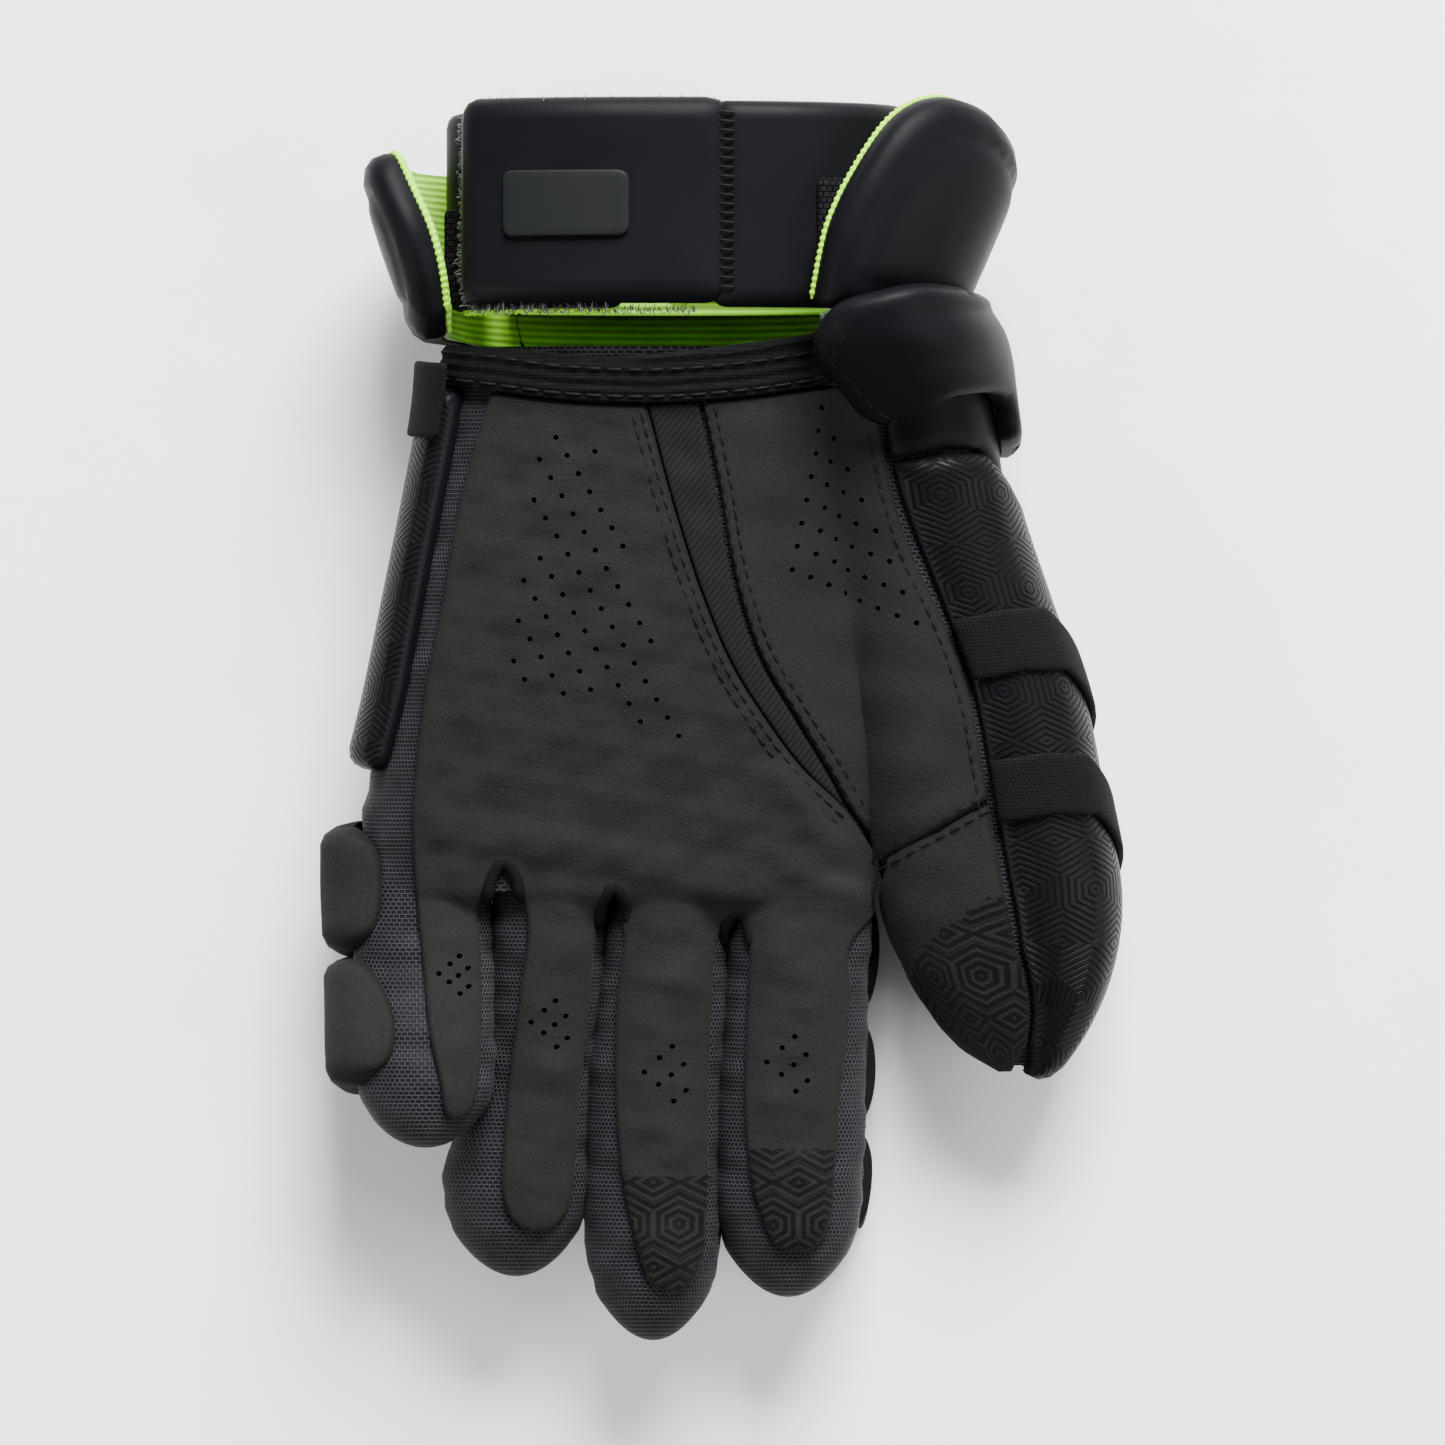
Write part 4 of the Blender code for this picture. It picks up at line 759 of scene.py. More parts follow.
def add_piece(name, points, faces, finish, node=None, cloth=None, zone=None, sharp=50.0):
    """A piece from points in millimetres round the web line, riding on the glove's body.
    cloth holds each point's place on the flat fabric and its distance from the edge."""
    points = (np.asarray(points, float) + TO_FRAME) * MM
    mesh = bpy.data.meshes.new(name)
    mesh.from_pydata(points.tolist(), [], [tuple(map(int, f)) for f in faces])
    for label, kind, values in (("cloth", "FLOAT_VECTOR", cloth), ("zone", "FLOAT", zone)):
        if values is not None:
            made = mesh.attributes.new(label, kind, "POINT")
            field = "vector" if kind == "FLOAT_VECTOR" else "value"
            made.data.foreach_set(field, np.asarray(values, np.float32).ravel())
    work = bmesh.new()
    work.from_mesh(mesh)
    bmesh.ops.recalc_face_normals(work, faces=work.faces)
    if work.calc_volume(signed=True) < 0:
        bmesh.ops.reverse_faces(work, faces=work.faces)
    work.to_mesh(mesh)
    work.free()
    mesh.shade_smooth()
    mesh.set_sharp_from_angle(angle=math.radians(sharp))
    made = bpy.data.objects.new(name, mesh)
    bpy.context.scene.collection.objects.link(made)
    material, build, slot = finish
    mesh.materials.append(surface(material, build))
    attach(made, "root")
    if node:
        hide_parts(node)
    return made


def sheet(name, outline, place, inner, thickness, finish, spacing=2.6, edge=2.0, rim=0.45,
          swell=None, dent=None, grooves=(), holes=(), hole_radius=0.75, zone=None):
    """A closed panel over an outline. place(points, offset) sets it on its form; inner and
    thickness are lengths, or functions of the outline's points. swell moves both faces out,
    dent only the outer one, and the rim is rounded over one edge width."""
    outline = split_sides(outline, spacing)
    flat, faces = filled(outline, spacing, edge, holes, hole_radius)
    from_edge = distance_to(outline, flat)
    away = np.clip(from_edge / edge, 0, 1)
    profile = rim + (1 - rim) * np.sqrt(1 - (1 - away) ** 2)
    start = inner(flat) if callable(inner) else np.full(len(flat), float(inner))
    full = thickness(flat) if callable(thickness) else np.full(len(flat), float(thickness))
    if swell:
        start = start + swell(flat) * np.clip(from_edge / 6, 0, 1)
    top = start + full * profile + (dent(flat) if dent else 0.0)
    for distance, width, depth in grooves:
        top = top - depth * np.exp(-(((from_edge - distance) / width) ** 2))
    over, under = place(flat, np.maximum(top, start + 0.25)), place(flat, start)
    count = len(flat)
    walls = [(a, b, count + b, count + a) for a, b in border_of(faces)]
    solid = [tuple(f) for f in faces + count] + [tuple(f[::-1]) for f in faces] + walls
    cloth = np.column_stack([flat, from_edge])
    marks = np.tile(zone(flat), 2) if zone else None
    made = add_piece(name, np.vstack([under, over]), solid, finish, name_of_node(name),
                     np.vstack([cloth, cloth]), marks)
    made["upper"] = count
    return made


def name_of_node(name):
    """The solid that a piece stands for, where the piece is named for it and its cloth."""
    nodes = [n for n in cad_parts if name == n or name.startswith(n + "_")]
    return max(nodes, key=len) if nodes else None


def placer(form, scale, lane=None):
    """Sets flat points, in millimetres round the form and of Y, out from the form."""

    def place(flat, offset):
        points = form.around(flat[:, 0] / scale, flat[:, 1], offset)
        if lane:
            points[:, 0] = np.clip(points[:, 0], lane[0](flat[:, 1]), lane[1](flat[:, 1]))
        points[:, 2] = np.maximum(points[:, 2], 0)
        return points

    return place


def round_sheet(name, outline, form, inner, thickness, finish, lane=None, swell=None, dent=None,
                **more):
    """A panel round a form, its outline in degrees and millimetres of Y."""
    ys = [y for _, y in outline]
    scale = round_plane(form, (min(ys) + max(ys)) / 2)

    def by_angle(value):
        return (lambda flat: value(flat[:, 0] / scale, flat[:, 1])) if callable(value) else value

    flat_outline = [(a * scale, y) for a, y in outline]
    made = sheet(name, flat_outline, placer(form, scale, lane), by_angle(inner),
                 by_angle(thickness), finish, swell=by_angle(swell) if swell else None,
                 dent=by_angle(dent) if dent else None, **more)
    made["scale"] = scale
    return made


def on_palm_place(flat, offset):
    return on_palm(flat[:, 0], flat[:, 1], offset)


def palm_sheet(name, outline, inner, thickness, finish, **more):
    """A panel on the palm side, its outline in millimetres of the floor."""
    return sheet(name, outline, on_palm_place, inner, thickness, finish, **more)


def run_along(path):
    """How far along a line each of its points lies."""
    return np.concatenate([[0], np.cumsum(np.linalg.norm(np.diff(path, axis=0), axis=1))])


def directions(path):
    """The direction of a line at each of its points."""
    along = np.roll(path, -1, 0) - np.roll(path, 1, 0)
    along[0], along[-1] = path[1] - path[0], path[-1] - path[-2]
    return unit(along)


def unit(vectors):
    return vectors / np.maximum(np.linalg.norm(vectors, axis=1, keepdims=True), 1e-9)


def evenly(path, step):
    """Points a step apart along a line of points, of any dimension."""
    path = np.asarray(path, float)
    run = run_along(path)
    count = max(2, round(run[-1] / step) + 1)
    at = np.linspace(0, run[-1], count)
    return np.stack([np.interp(at, run, path[:, i]) for i in range(path.shape[1])], -1)


def tube(path, up, radius, sides, flatten=1.0):
    """Points and faces of a round tube along 3-D points, up being its surface's normals."""
    along = directions(path)
    side = unit(np.cross(along, up))
    up = np.cross(side, along)
    turns = np.radians(np.arange(sides) * 360 / sides)
    radius = np.broadcast_to(np.asarray(radius, float), len(path))[:, None, None]
    across, out = np.cos(turns)[:, None], flatten * np.sin(turns)[:, None]
    ring = across * side[:, None] + out * up[:, None]
    points = (path[:, None] + radius * ring).reshape(-1, 3)
    count = len(path)
    faces = []
    for i in range(count - 1):
        faces += bridge(i * sides, (i + 1) * sides, sides)
    faces.append(tuple(range(sides))[::-1])
    faces.append(tuple((count - 1) * sides + j for j in range(sides)))
    around = np.tile(np.degrees(turns) / 360, count)
    girth = 2 * math.pi * float(radius.mean())
    cloth = np.column_stack([around * girth, np.repeat(run_along(path), sides),
                             np.full(len(points), 5.0)])
    return points, faces, cloth


def joined(parts):
    """Several sets of points, faces and cloth places as one."""
    points, faces, cloth, start = [], [], [], 0
    for p, f, c in parts:
        points.append(p)
        faces += [tuple(i + start for i in face) for face in f]
        cloth.append(c)
        start += len(p)
    return np.vstack(points), faces, np.vstack(cloth)


def over_surface(place, flat, offset):
    """3-D points over a surface, and its normals there."""
    flat = np.asarray(flat, float)
    offset = np.broadcast_to(np.asarray(offset, float), len(flat))
    points = place(flat, offset)
    normal = place(flat, offset + 0.5) - points
    return points, unit(normal)


def stitches(name, rows, finish, length=3.2, gap=0.9, radius=0.3, rise=0.18):
    """Sewing thread along rows, each a (place, flat path, offset) triple: one short arched
    length of thread for each stitch, its ends sunk into the cloth."""
    parts = []
    for place, path, offset in rows:
        path = evenly(path, 0.5)
        run = run_along(path)
        count = max(1, int(run[-1] // (length + gap)))
        pitch = run[-1] / count
        for number in range(count):
            at = number * pitch + np.array([0.0, 0.14, 0.5, 0.86, 1.0]) * length
            flat = np.stack([np.interp(at, run, path[:, i]) for i in (0, 1)], -1)
            lift = offset + radius * np.array([-1.1, 0.2, 0.55, 0.2, -1.1]) + rise
            points, normal = over_surface(place, flat, lift)
            thick = radius * np.array([0.7, 1.0, 1.05, 1.0, 0.7])
            parts.append(tube(points, normal, thick, 6))
    points, faces, cloth = joined(parts)
    return add_piece(name, points, faces, finish, cloth=cloth, sharp=80)


def welt(name, place, path, offset, radius, finish, wave=0.0, pitch=3.0, step=0.9, sides=10,
         flatten=1.0):
    """A round edge roll along a line over a surface. wave scallops it at each pitch."""
    flat = evenly(path, step)
    points, normal = over_surface(place, flat, offset)
    run = run_along(points)
    thick = radius * (1 + wave * np.cos(2 * math.pi * run / pitch))
    thick = thick * np.clip(np.minimum(run, run[-1] - run) / (2 * radius) + 0.35, 0, 1)
    points, faces, cloth = tube(points, normal, thick, sides, flatten)
    return add_piece(name, points, faces, finish, cloth=cloth, sharp=70)


def fuzz(name, place, path, finish, per_mm=2.2, reach=2.6, seed=3, radius=0.09, offset=0.5):
    """Loose curls of hook-and-loop pile along an edge."""
    rng = np.random.default_rng(seed)
    flat = evenly(path, 1 / per_mm)
    points, normal = over_surface(place, flat, offset)
    along = unit(np.gradient(points, axis=0))
    side = np.cross(along, normal)
    parts = []
    for point, up, out, forward in zip(points, normal, side, along):
        long = reach * rng.uniform(0.35, 1.0)
        lean = rng.uniform(-0.8, 0.8)
        t = np.linspace(0, 1, 7)[:, None]
        turn = rng.uniform(2.2, 4.6) * t
        curl = out * np.sin(turn) + up * (1 - np.cos(turn)) * rng.uniform(-0.5, 0.7)
        line = point + rng.normal(0, 0.35, 3) + 0.5 * long * curl + long * lean * t * forward
        parts.append(tube(line, np.tile(up + 0.1, (7, 1)), radius, 4))
    made = joined(parts)
    return add_piece(name, made[0], made[1], finish, cloth=made[2], sharp=80)


def shell_tube(name, form, ys, wall, sides, finish, closed_tip, swell=None, keep=None):
    """A knitted tube with an inner face, open at its start; swell moves its skin out."""
    rings, flats = [], []
    angles = np.arange(sides) * 360 / sides
    girth = round_plane(form, float(np.mean(ys)))
    for layer in (form, form.grown(-wall)):
        tip_shift = -layer.grow if closed_tip else 0.0
        for number, y in enumerate(ys):
            y = y + tip_shift * number / (len(ys) - 1)
            points = layer.around(angles, np.full(sides, y))
            if swell is not None and layer is form:
                points = layer.around(angles, np.full(sides, y), swell(angles, y))
            points[:, 2] = np.maximum(points[:, 2], 0)
            rings.append(points)
            flats.append(np.column_stack([angles * girth, np.full(sides, y), np.full(sides, 9.0)]))
    count = len(ys)
    faces = []
    for i in range(count - 1):
        faces += bridge(i * sides, (i + 1) * sides, sides)
        faces += [f[::-1] for f in bridge((count + i) * sides, (count + i + 1) * sides, sides)]
    faces += bridge(count * sides, 0, sides)
    if closed_tip:
        faces.append(tuple((count - 1) * sides + i for i in range(sides)))
        faces.append(tuple((2 * count - 1) * sides + i for i in range(sides))[::-1])
    else:
        faces += [f[::-1] for f in bridge((2 * count - 1) * sides, (count - 1) * sides, sides)]
    points = np.vstack(rings)
    if keep is not None:
        kept = keep(points)
        faces = [f for f in faces if any(kept[i] for i in f)]
    return add_piece(name, points, faces, finish, name_of_node(name), np.vstack(flats))


class GloveColours(bpy.types.PropertyGroup):
    """The colours of the glove's cloths."""

    suede: bpy.props.FloatVectorProperty(
        name="Suede", description="Palm and fingertip leather", subtype="COLOR", size=3,
        default=from_srgb("#1b1b1a"), min=0, max=1)
    mesh_yarn: bpy.props.FloatVectorProperty(
        name="Mesh yarn", description="The knitted mesh of the fingers", subtype="COLOR", size=3,
        default=from_srgb("#1f1e22"), min=0, max=1)
    cover: bpy.props.FloatVectorProperty(
        name="Textured cover", description="The embossed covers of the pads", subtype="COLOR",
        size=3, default=from_srgb("#0a0a0d"), min=0, max=1)
    smooth_cover: bpy.props.FloatVectorProperty(
        name="Smooth cover", description="The coated cuff, wrap and straps", subtype="COLOR",
        size=3, default=from_srgb("#0a0a0d"), min=0, max=1)
    webbing: bpy.props.FloatVectorProperty(
        name="Webbing", description="Bands, elastics and bindings", subtype="COLOR", size=3,
        default=from_srgb("#0b0b0c"), min=0, max=1)
    lining: bpy.props.FloatVectorProperty(
        name="Lining", description="The cuff's lime lining", subtype="COLOR", size=3,
        default=from_srgb("#8ed01c"), min=0, max=1)
    thread: bpy.props.FloatVectorProperty(
        name="Thread", description="Sewing thread", subtype="COLOR", size=3,
        default=from_srgb("#0c0c0c"), min=0, max=1)


class GloveSizes(bpy.types.PropertyGroup):
    """The sizes of the glove's stitches, weaves and pads."""

    stitch: bpy.props.FloatProperty(
        name="Stitch", description="Length of one sewn stitch", unit="LENGTH",
        default=3.1 * MM, min=1 * MM, max=8 * MM)
    thread: bpy.props.FloatProperty(
        name="Thread", description="Thickness of the sewing thread", unit="LENGTH",
        default=0.55 * MM, min=0.2 * MM, max=1.5 * MM)
    knit_row: bpy.props.FloatProperty(
        name="Knit row", description="Height of one row of the mesh", unit="LENGTH",
        default=1.1 * MM, min=0.5 * MM, max=4 * MM)
    hexagon: bpy.props.FloatProperty(
        name="Hexagon", description="Width of one honeycomb cell of the embossing", unit="LENGTH",
        default=15 * MM, min=5 * MM, max=40 * MM)
    line: bpy.props.FloatProperty(
        name="Line", description="Distance between the embossed lines", unit="LENGTH",
        default=1.5 * MM, min=0.6 * MM, max=4 * MM)
    perforation: bpy.props.FloatProperty(
        name="Perforation", description="Radius of an air hole in the palm", unit="LENGTH",
        default=0.75 * MM, min=0.3 * MM, max=2 * MM)
    wrinkle: bpy.props.FloatProperty(
        name="Wrinkle", description="Height of the folds worn into the leather", unit="LENGTH",
        default=2.0 * MM, min=0, max=4 * MM)
    puff: bpy.props.FloatProperty(
        name="Puff", description="How far the pads may swell in the cloth simulation",
        unit="LENGTH", default=1.6 * MM, min=0, max=5 * MM)


class StageSettings(bpy.types.PropertyGroup):
    """The camera and the studio light."""

    frame_width: bpy.props.FloatProperty(
        name="Frame width", description="Width that the camera sees at the palm", unit="LENGTH",
        default=0.382, min=0.1, max=2)
    distance: bpy.props.FloatProperty(
        name="Camera distance", description="Height of the camera over the floor", unit="LENGTH",
        default=2.5, min=0.5, max=10)
    key: bpy.props.FloatProperty(
        name="Key light", description="Power of the large lamp", unit="POWER", default=360, min=0)
    fill: bpy.props.FloatProperty(
        name="Fill light", description="Power of the side lamps", unit="POWER", default=45, min=0)


def colours():
    return bpy.context.scene.glove_colours


def size(name):
    """One of the glove's sizes, in millimetres."""
    return getattr(bpy.context.scene.glove_sizes, name) / MM


def shade(colour, share):
    """A colour lightened or darkened, as a socket takes it."""
    return (*(min(1.0, c * share) for c in colour), 1.0)


def surface(name, build):
    """The material of that name, made by build(tree, principled) the first time."""
    made = bpy.data.materials.get(name)
    if made is None:
        made = bpy.data.materials.new(name)
        made.use_nodes = True
        build(made.node_tree, made.node_tree.nodes["Principled BSDF"])
    return made


def flat_cloth(tree):
    """Where each point lies on the flat cloth, and its distance from the edge, in mm."""
    return put(tree, "ShaderNodeAttribute", attribute_name="cloth").outputs["Vector"]


def honeycomb_lines(tree, place, cell, pitch):
    """Rings and chevrons of parallel lines in a plain honeycomb: 0 in a groove, 1 between."""
    near = put(tree, "ShaderNodeVectorMath", {0: place, 1: (1 / cell, 1 / cell, 0)},
               operation="MULTIPLY").outputs[0]
    half = (0.5, math.sqrt(3) / 2, 0.5)
    minus_half = tuple(-h for h in half)
    first = put(tree, "ShaderNodeVectorMath", {0: near, 1: half, 2: minus_half},
                operation="WRAP").outputs[0]
    moved = put(tree, "ShaderNodeVectorMath", {0: near, 1: half}, operation="SUBTRACT").outputs[0]
    second = put(tree, "ShaderNodeVectorMath", {0: moved, 1: half, 2: minus_half},
                 operation="WRAP").outputs[0]
    reach = [put(tree, "ShaderNodeVectorMath", {0: v}, operation="LENGTH").outputs["Value"]
             for v in (first, second)]
    chosen = put(tree, "ShaderNodeMath", {0: reach[1], 1: reach[0]},
                 operation="LESS_THAN").outputs[0]
    local = put(tree, "ShaderNodeMix", {0: chosen, 4: first, 5: second},
                data_type="VECTOR").outputs[1]
    folded = put(tree, "ShaderNodeVectorMath", {0: local}, operation="ABSOLUTE").outputs[0]
    axes = put(tree, "ShaderNodeSeparateXYZ", {0: folded})
    slanted = put(tree, "ShaderNodeVectorMath", {0: folded, 1: (0.5, math.sqrt(3) / 2, 0)},
                  operation="DOT_PRODUCT").outputs["Value"]
    ring = put(tree, "ShaderNodeMath", {0: axes.outputs[0], 1: slanted},
               operation="MAXIMUM").outputs[0]
    kind = put(tree, "ShaderNodeMix", {0: chosen, 2: ring, 3: slanted}).outputs[0]
    lines = put(tree, "ShaderNodeMath", {0: kind, 1: cell / pitch},
                operation="MULTIPLY").outputs[0]
    wave = put(tree, "ShaderNodeMath", {0: lines, 1: 0.5}, operation="PINGPONG").outputs[0]
    return put(tree, "ShaderNodeMapRange",
               {0: wave, 1: 0.13, 2: 0.27, 3: 0.0, 4: 1.0}).outputs[0]


def suede(tree, out):
    """Microfibre suede, sanded to a short nap: matt, with soft clouds where hands rub it, and painted
    shade along its cut edges.
    """
    place = flat_cloth(tree)
    base = colours().suede
    nap = put(tree, "ShaderNodeTexNoise", {"Vector": place, "Scale": 1 / 0.9, "Detail": 3})
    mottle = put(tree, "ShaderNodeTexNoise", {"Vector": place, "Scale": 1 / 15, "Detail": 3})
    light = put(tree, "ShaderNodeMix", {0: mottle.outputs[0], 6: shade(base, 0.75),
                7: shade(base, 1.25)}, data_type="RGBA").outputs[2]
    napped = put(tree, "ShaderNodeMix", {0: nap.outputs[0], 6: shade(base, 0.5), 7: light},
                 data_type="RGBA", blend_type="MIX").outputs[2]
    zone = put(tree, "ShaderNodeAttribute", attribute_name="zone").outputs["Fac"]
    in_zone = put(tree, "ShaderNodeMath", {0: zone, 1: 0.0}, operation="GREATER_THAN").outputs[0]
    lines = honeycomb_lines(tree, place, 0.85 * size("hexagon"), 1.35 * size("line"))
    printed = put(tree, "ShaderNodeMath", {0: in_zone, 1: lines}, operation="MULTIPLY").outputs[0]
    coloured = put(tree, "ShaderNodeMix", {0: printed, 6: napped, 7: shade(base, 0.12)},
                   data_type="RGBA").outputs[2]
    # Painted shade: the colour falls to under half over the last millimetre before each piece's cut edge,
    # where its rounded rim turns down.
    edge = put(tree, "ShaderNodeSeparateXYZ", {0: place}).outputs[2]
    rim = put(tree, "ShaderNodeMapRange", {0: edge, 1: 0.0, 2: 1.1, 3: 0.45, 4: 1.0}).outputs[0]
    rim_shaded = put(tree, "ShaderNodeMix", {0: 1.0, 6: coloured, 7: rim}, data_type="RGBA",
               blend_type="MULTIPLY").outputs[2]
    rough = put(tree, "ShaderNodeMapRange", {0: printed, 1: 0, 2: 1, 3: 0.88, 4: 0.62})
    bump = put(tree, "ShaderNodeBump", {"Strength": 0.9, "Distance": 0.3 * MM,
               "Height": nap.outputs[0]})
    feed(tree, out, {"Base Color": rim_shaded, "Roughness": rough.outputs[0],
         "Normal": bump.outputs[0], "Sheen Weight": 0.02, "Specular IOR Level": 0.07,
         "Sheen Roughness": 0.5})


def knit(tree, out):
    """Polyester sports mesh, warp knitted: dull yarn in brick rows round small dark holes.
    The rows are drawn a tenth coarser than the real millimetre, so that they show."""
    place = flat_cloth(tree)
    row = size("knit_row")
    yarn = colours().mesh_yarn
    brick = put(tree, "ShaderNodeTexBrick", {"Vector": place, "Scale": 1.0,
                "Brick Width": 1.2 * row, "Row Height": row, "Mortar Size": 0.26 * row,
                "Mortar Smooth": 0.9, "Color1": shade(yarn, 0.2), "Color2": shade(yarn, 0.3),
                "Mortar": shade(yarn, 1.6)}, offset=0.5)
    haze = put(tree, "ShaderNodeTexNoise", {"Vector": place, "Scale": 1 / 9, "Detail": 2})
    tone = put(tree, "ShaderNodeMapRange", {0: haze.outputs[0], 1: 0.3, 2: 0.7, 3: 0.75,
               4: 1.2}).outputs[0]
    woven = put(tree, "ShaderNodeMix", {0: 1.0, 6: brick.outputs["Color"], 7: tone},
                data_type="RGBA", blend_type="MULTIPLY").outputs[2]
    bump = put(tree, "ShaderNodeBump", {"Strength": 0.9, "Distance": 0.3 * MM,
               "Height": brick.outputs["Fac"]})
    feed(tree, out, {"Base Color": woven, "Normal": bump.outputs[0], "Roughness": 0.55,
         "Sheen Weight": 0.03, "Specular IOR Level": 0.07, "Sheen Roughness": 0.4})


def cover(tree, out):
    """Polyurethane synthetic leather, roller embossed: satin lands between darker grooves."""
    place = flat_cloth(tree)
    base = colours().cover
    edge = put(tree, "ShaderNodeSeparateXYZ", {0: place}).outputs[2]
    plain = put(tree, "ShaderNodeMapRange", {0: edge, 1: 0.3, 2: 1.8, 3: 1.0, 4: 0.0}).outputs[0]
    drawn = honeycomb_lines(tree, place, size("hexagon"), size("line"))
    lines = put(tree, "ShaderNodeMath", {0: drawn, 1: plain}, operation="MAXIMUM").outputs[0]
    grain = put(tree, "ShaderNodeTexNoise", {"Vector": place, "Scale": 1 / 0.7, "Detail": 2})
    colour = put(tree, "ShaderNodeMix", {0: lines, 6: shade(base, 0.3), 7: shade(base, 1.1)},
                 data_type="RGBA").outputs[2]
    rough = put(tree, "ShaderNodeMapRange", {0: lines, 1: 0, 2: 1, 3: 0.6, 4: 0.36}).outputs[0]
    height = put(tree, "ShaderNodeMath", {0: grain.outputs[0], 1: 0.12, 2: lines},
                 operation="MULTIPLY_ADD").outputs[0]
    bump = put(tree, "ShaderNodeBump", {"Strength": 1.0, "Distance": 0.32 * MM,
               "Height": height})
    feed(tree, out, {"Base Color": colour, "Roughness": rough, "Normal": bump.outputs[0],
         "Specular IOR Level": 0.06})


def smooth_cover(tree, out):
    """Neoprene foam with a calendered polyurethane skin: smooth, with broad soft highlights."""
    place = flat_cloth(tree)
    base = colours().smooth_cover
    cloud = put(tree, "ShaderNodeTexNoise", {"Vector": place, "Scale": 1 / 22, "Detail": 3})
    fine = put(tree, "ShaderNodeTexNoise", {"Vector": place, "Scale": 1 / 0.5, "Detail": 2})
    colour = put(tree, "ShaderNodeMix", {0: cloud.outputs[0], 6: shade(base, 0.8),
                 7: shade(base, 1.2)}, data_type="RGBA").outputs[2]
    rough = put(tree, "ShaderNodeMapRange", {0: cloud.outputs[0], 1: 0.3, 2: 0.7, 3: 0.44,
                4: 0.54}).outputs[0]
    bump = put(tree, "ShaderNodeBump", {"Strength": 0.12, "Distance": 0.08 * MM,
               "Height": fine.outputs[0]})
    feed(tree, out, {"Base Color": colour, "Roughness": rough, "Normal": bump.outputs[0],
         "Specular IOR Level": 0.05})


def woven(tree, out, width, height, tones, strength):
    """Shared by the narrow fabrics: a brick weave with threads width by height mm."""
    place = flat_cloth(tree)
    base = colours().webbing
    brick = put(tree, "ShaderNodeTexBrick", {"Vector": place, "Scale": 1.0,
                "Brick Width": width, "Row Height": height, "Mortar Size": 0.16 * height,
                "Mortar Smooth": 0.9, "Color1": shade(base, tones[1]),
                "Color2": shade(base, 0.8 * tones[1]), "Mortar": shade(base, tones[0])},
                offset=0.5)
    low = put(tree, "ShaderNodeMath", {0: 1.0, 1: brick.outputs["Fac"]},
              operation="SUBTRACT").outputs[0]
    bump = put(tree, "ShaderNodeBump", {"Strength": strength, "Distance": 0.3 * MM,
               "Height": low})
    feed(tree, out, {"Base Color": brick.outputs["Color"], "Normal": bump.outputs[0],
         "Roughness": 0.75, "Specular IOR Level": 0.04})


def webbing(tree, out):
    """Polyester narrow fabric, plain woven: fine threads, nearly matt."""
    woven(tree, out, 0.9, 0.9, (0.45, 1.5), 0.5)


def elastic(tree, out):
    """Braided rubber and polyester elastic: cords side by side, each in short loops."""
    woven(tree, out, 1.5, 1.5, (0.2, 2.2), 1.0)


def twill(tree, out):
    """Stretch polyamide, twill woven: dull, with a fine slanting line."""
    turned = put(tree, "ShaderNodeMapping", {"Vector": flat_cloth(tree),
                 "Rotation": (0, 0, math.radians(38))}).outputs[0]
    wave = put(tree, "ShaderNodeTexWave", {"Vector": turned, "Scale": 1 / 4.4,
               "Distortion": 0.3, "Detail": 1})
    base = colours().suede
    colour = put(tree, "ShaderNodeMix", {0: wave.outputs["Fac"], 6: shade(base, 0.32),
                 7: shade(base, 0.66)}, data_type="RGBA").outputs[2]
    bump = put(tree, "ShaderNodeBump", {"Strength": 0.5, "Distance": 0.15 * MM,
               "Height": wave.outputs["Fac"]})
    feed(tree, out, {"Base Color": colour, "Normal": bump.outputs[0], "Roughness": 0.75,
         "Specular IOR Level": 0.07})


def lining(tree, out):
    """Brushed polyester tricot: lime, in fine raised ribs with a soft face."""
    place = flat_cloth(tree)
    base = colours().lining
    across = put(tree, "ShaderNodeMapping", {"Vector": place,
                 "Rotation": (0, 0, math.radians(90))}).outputs[0]
    ribs = put(tree, "ShaderNodeTexWave", {"Vector": across, "Scale": 1 / 6.0,
               "Distortion": 0.6, "Detail": 1, "Detail Scale": 0.5})
    cloud = put(tree, "ShaderNodeTexNoise", {"Vector": place, "Scale": 1 / 12, "Detail": 3})
    tone = put(tree, "ShaderNodeMix", {0: ribs.outputs["Fac"], 6: shade(base, 0.5),
               7: shade(base, 1.05)}, data_type="RGBA").outputs[2]
    colour = put(tree, "ShaderNodeMix", {0: 0.35, 6: tone, 7: cloud.outputs[0]},
                 data_type="RGBA", blend_type="OVERLAY").outputs[2]
    bump = put(tree, "ShaderNodeBump", {"Strength": 0.5, "Distance": 0.3 * MM,
               "Height": ribs.outputs["Fac"]})
    feed(tree, out, {"Base Color": colour, "Normal": bump.outputs[0], "Roughness": 0.72,
         "Sheen Weight": 0.2})


def twisted(tree, out, colour):
    """Shared by the threads: plies of a colour, slanting round the thread."""
    place = flat_cloth(tree)
    twist = put(tree, "ShaderNodeTexWave", {"Vector": place, "Scale": 0.9, "Distortion": 0.4},
                bands_direction="DIAGONAL")
    tone = put(tree, "ShaderNodeMix", {0: twist.outputs["Fac"], 6: shade(colour, 0.6),
               7: shade(colour, 1.6)}, data_type="RGBA").outputs[2]
    feed(tree, out, {"Base Color": tone, "Roughness": 0.65, "Specular IOR Level": 0.1})


def thread(tree, out):
    """Bonded nylon thread, twisted: a slight gloss along each ply."""
    twisted(tree, out, colours().thread)


def lime_thread(tree, out):
    """Textured polyester overlock thread: lime and woolly."""
    twisted(tree, out, colours().lining)


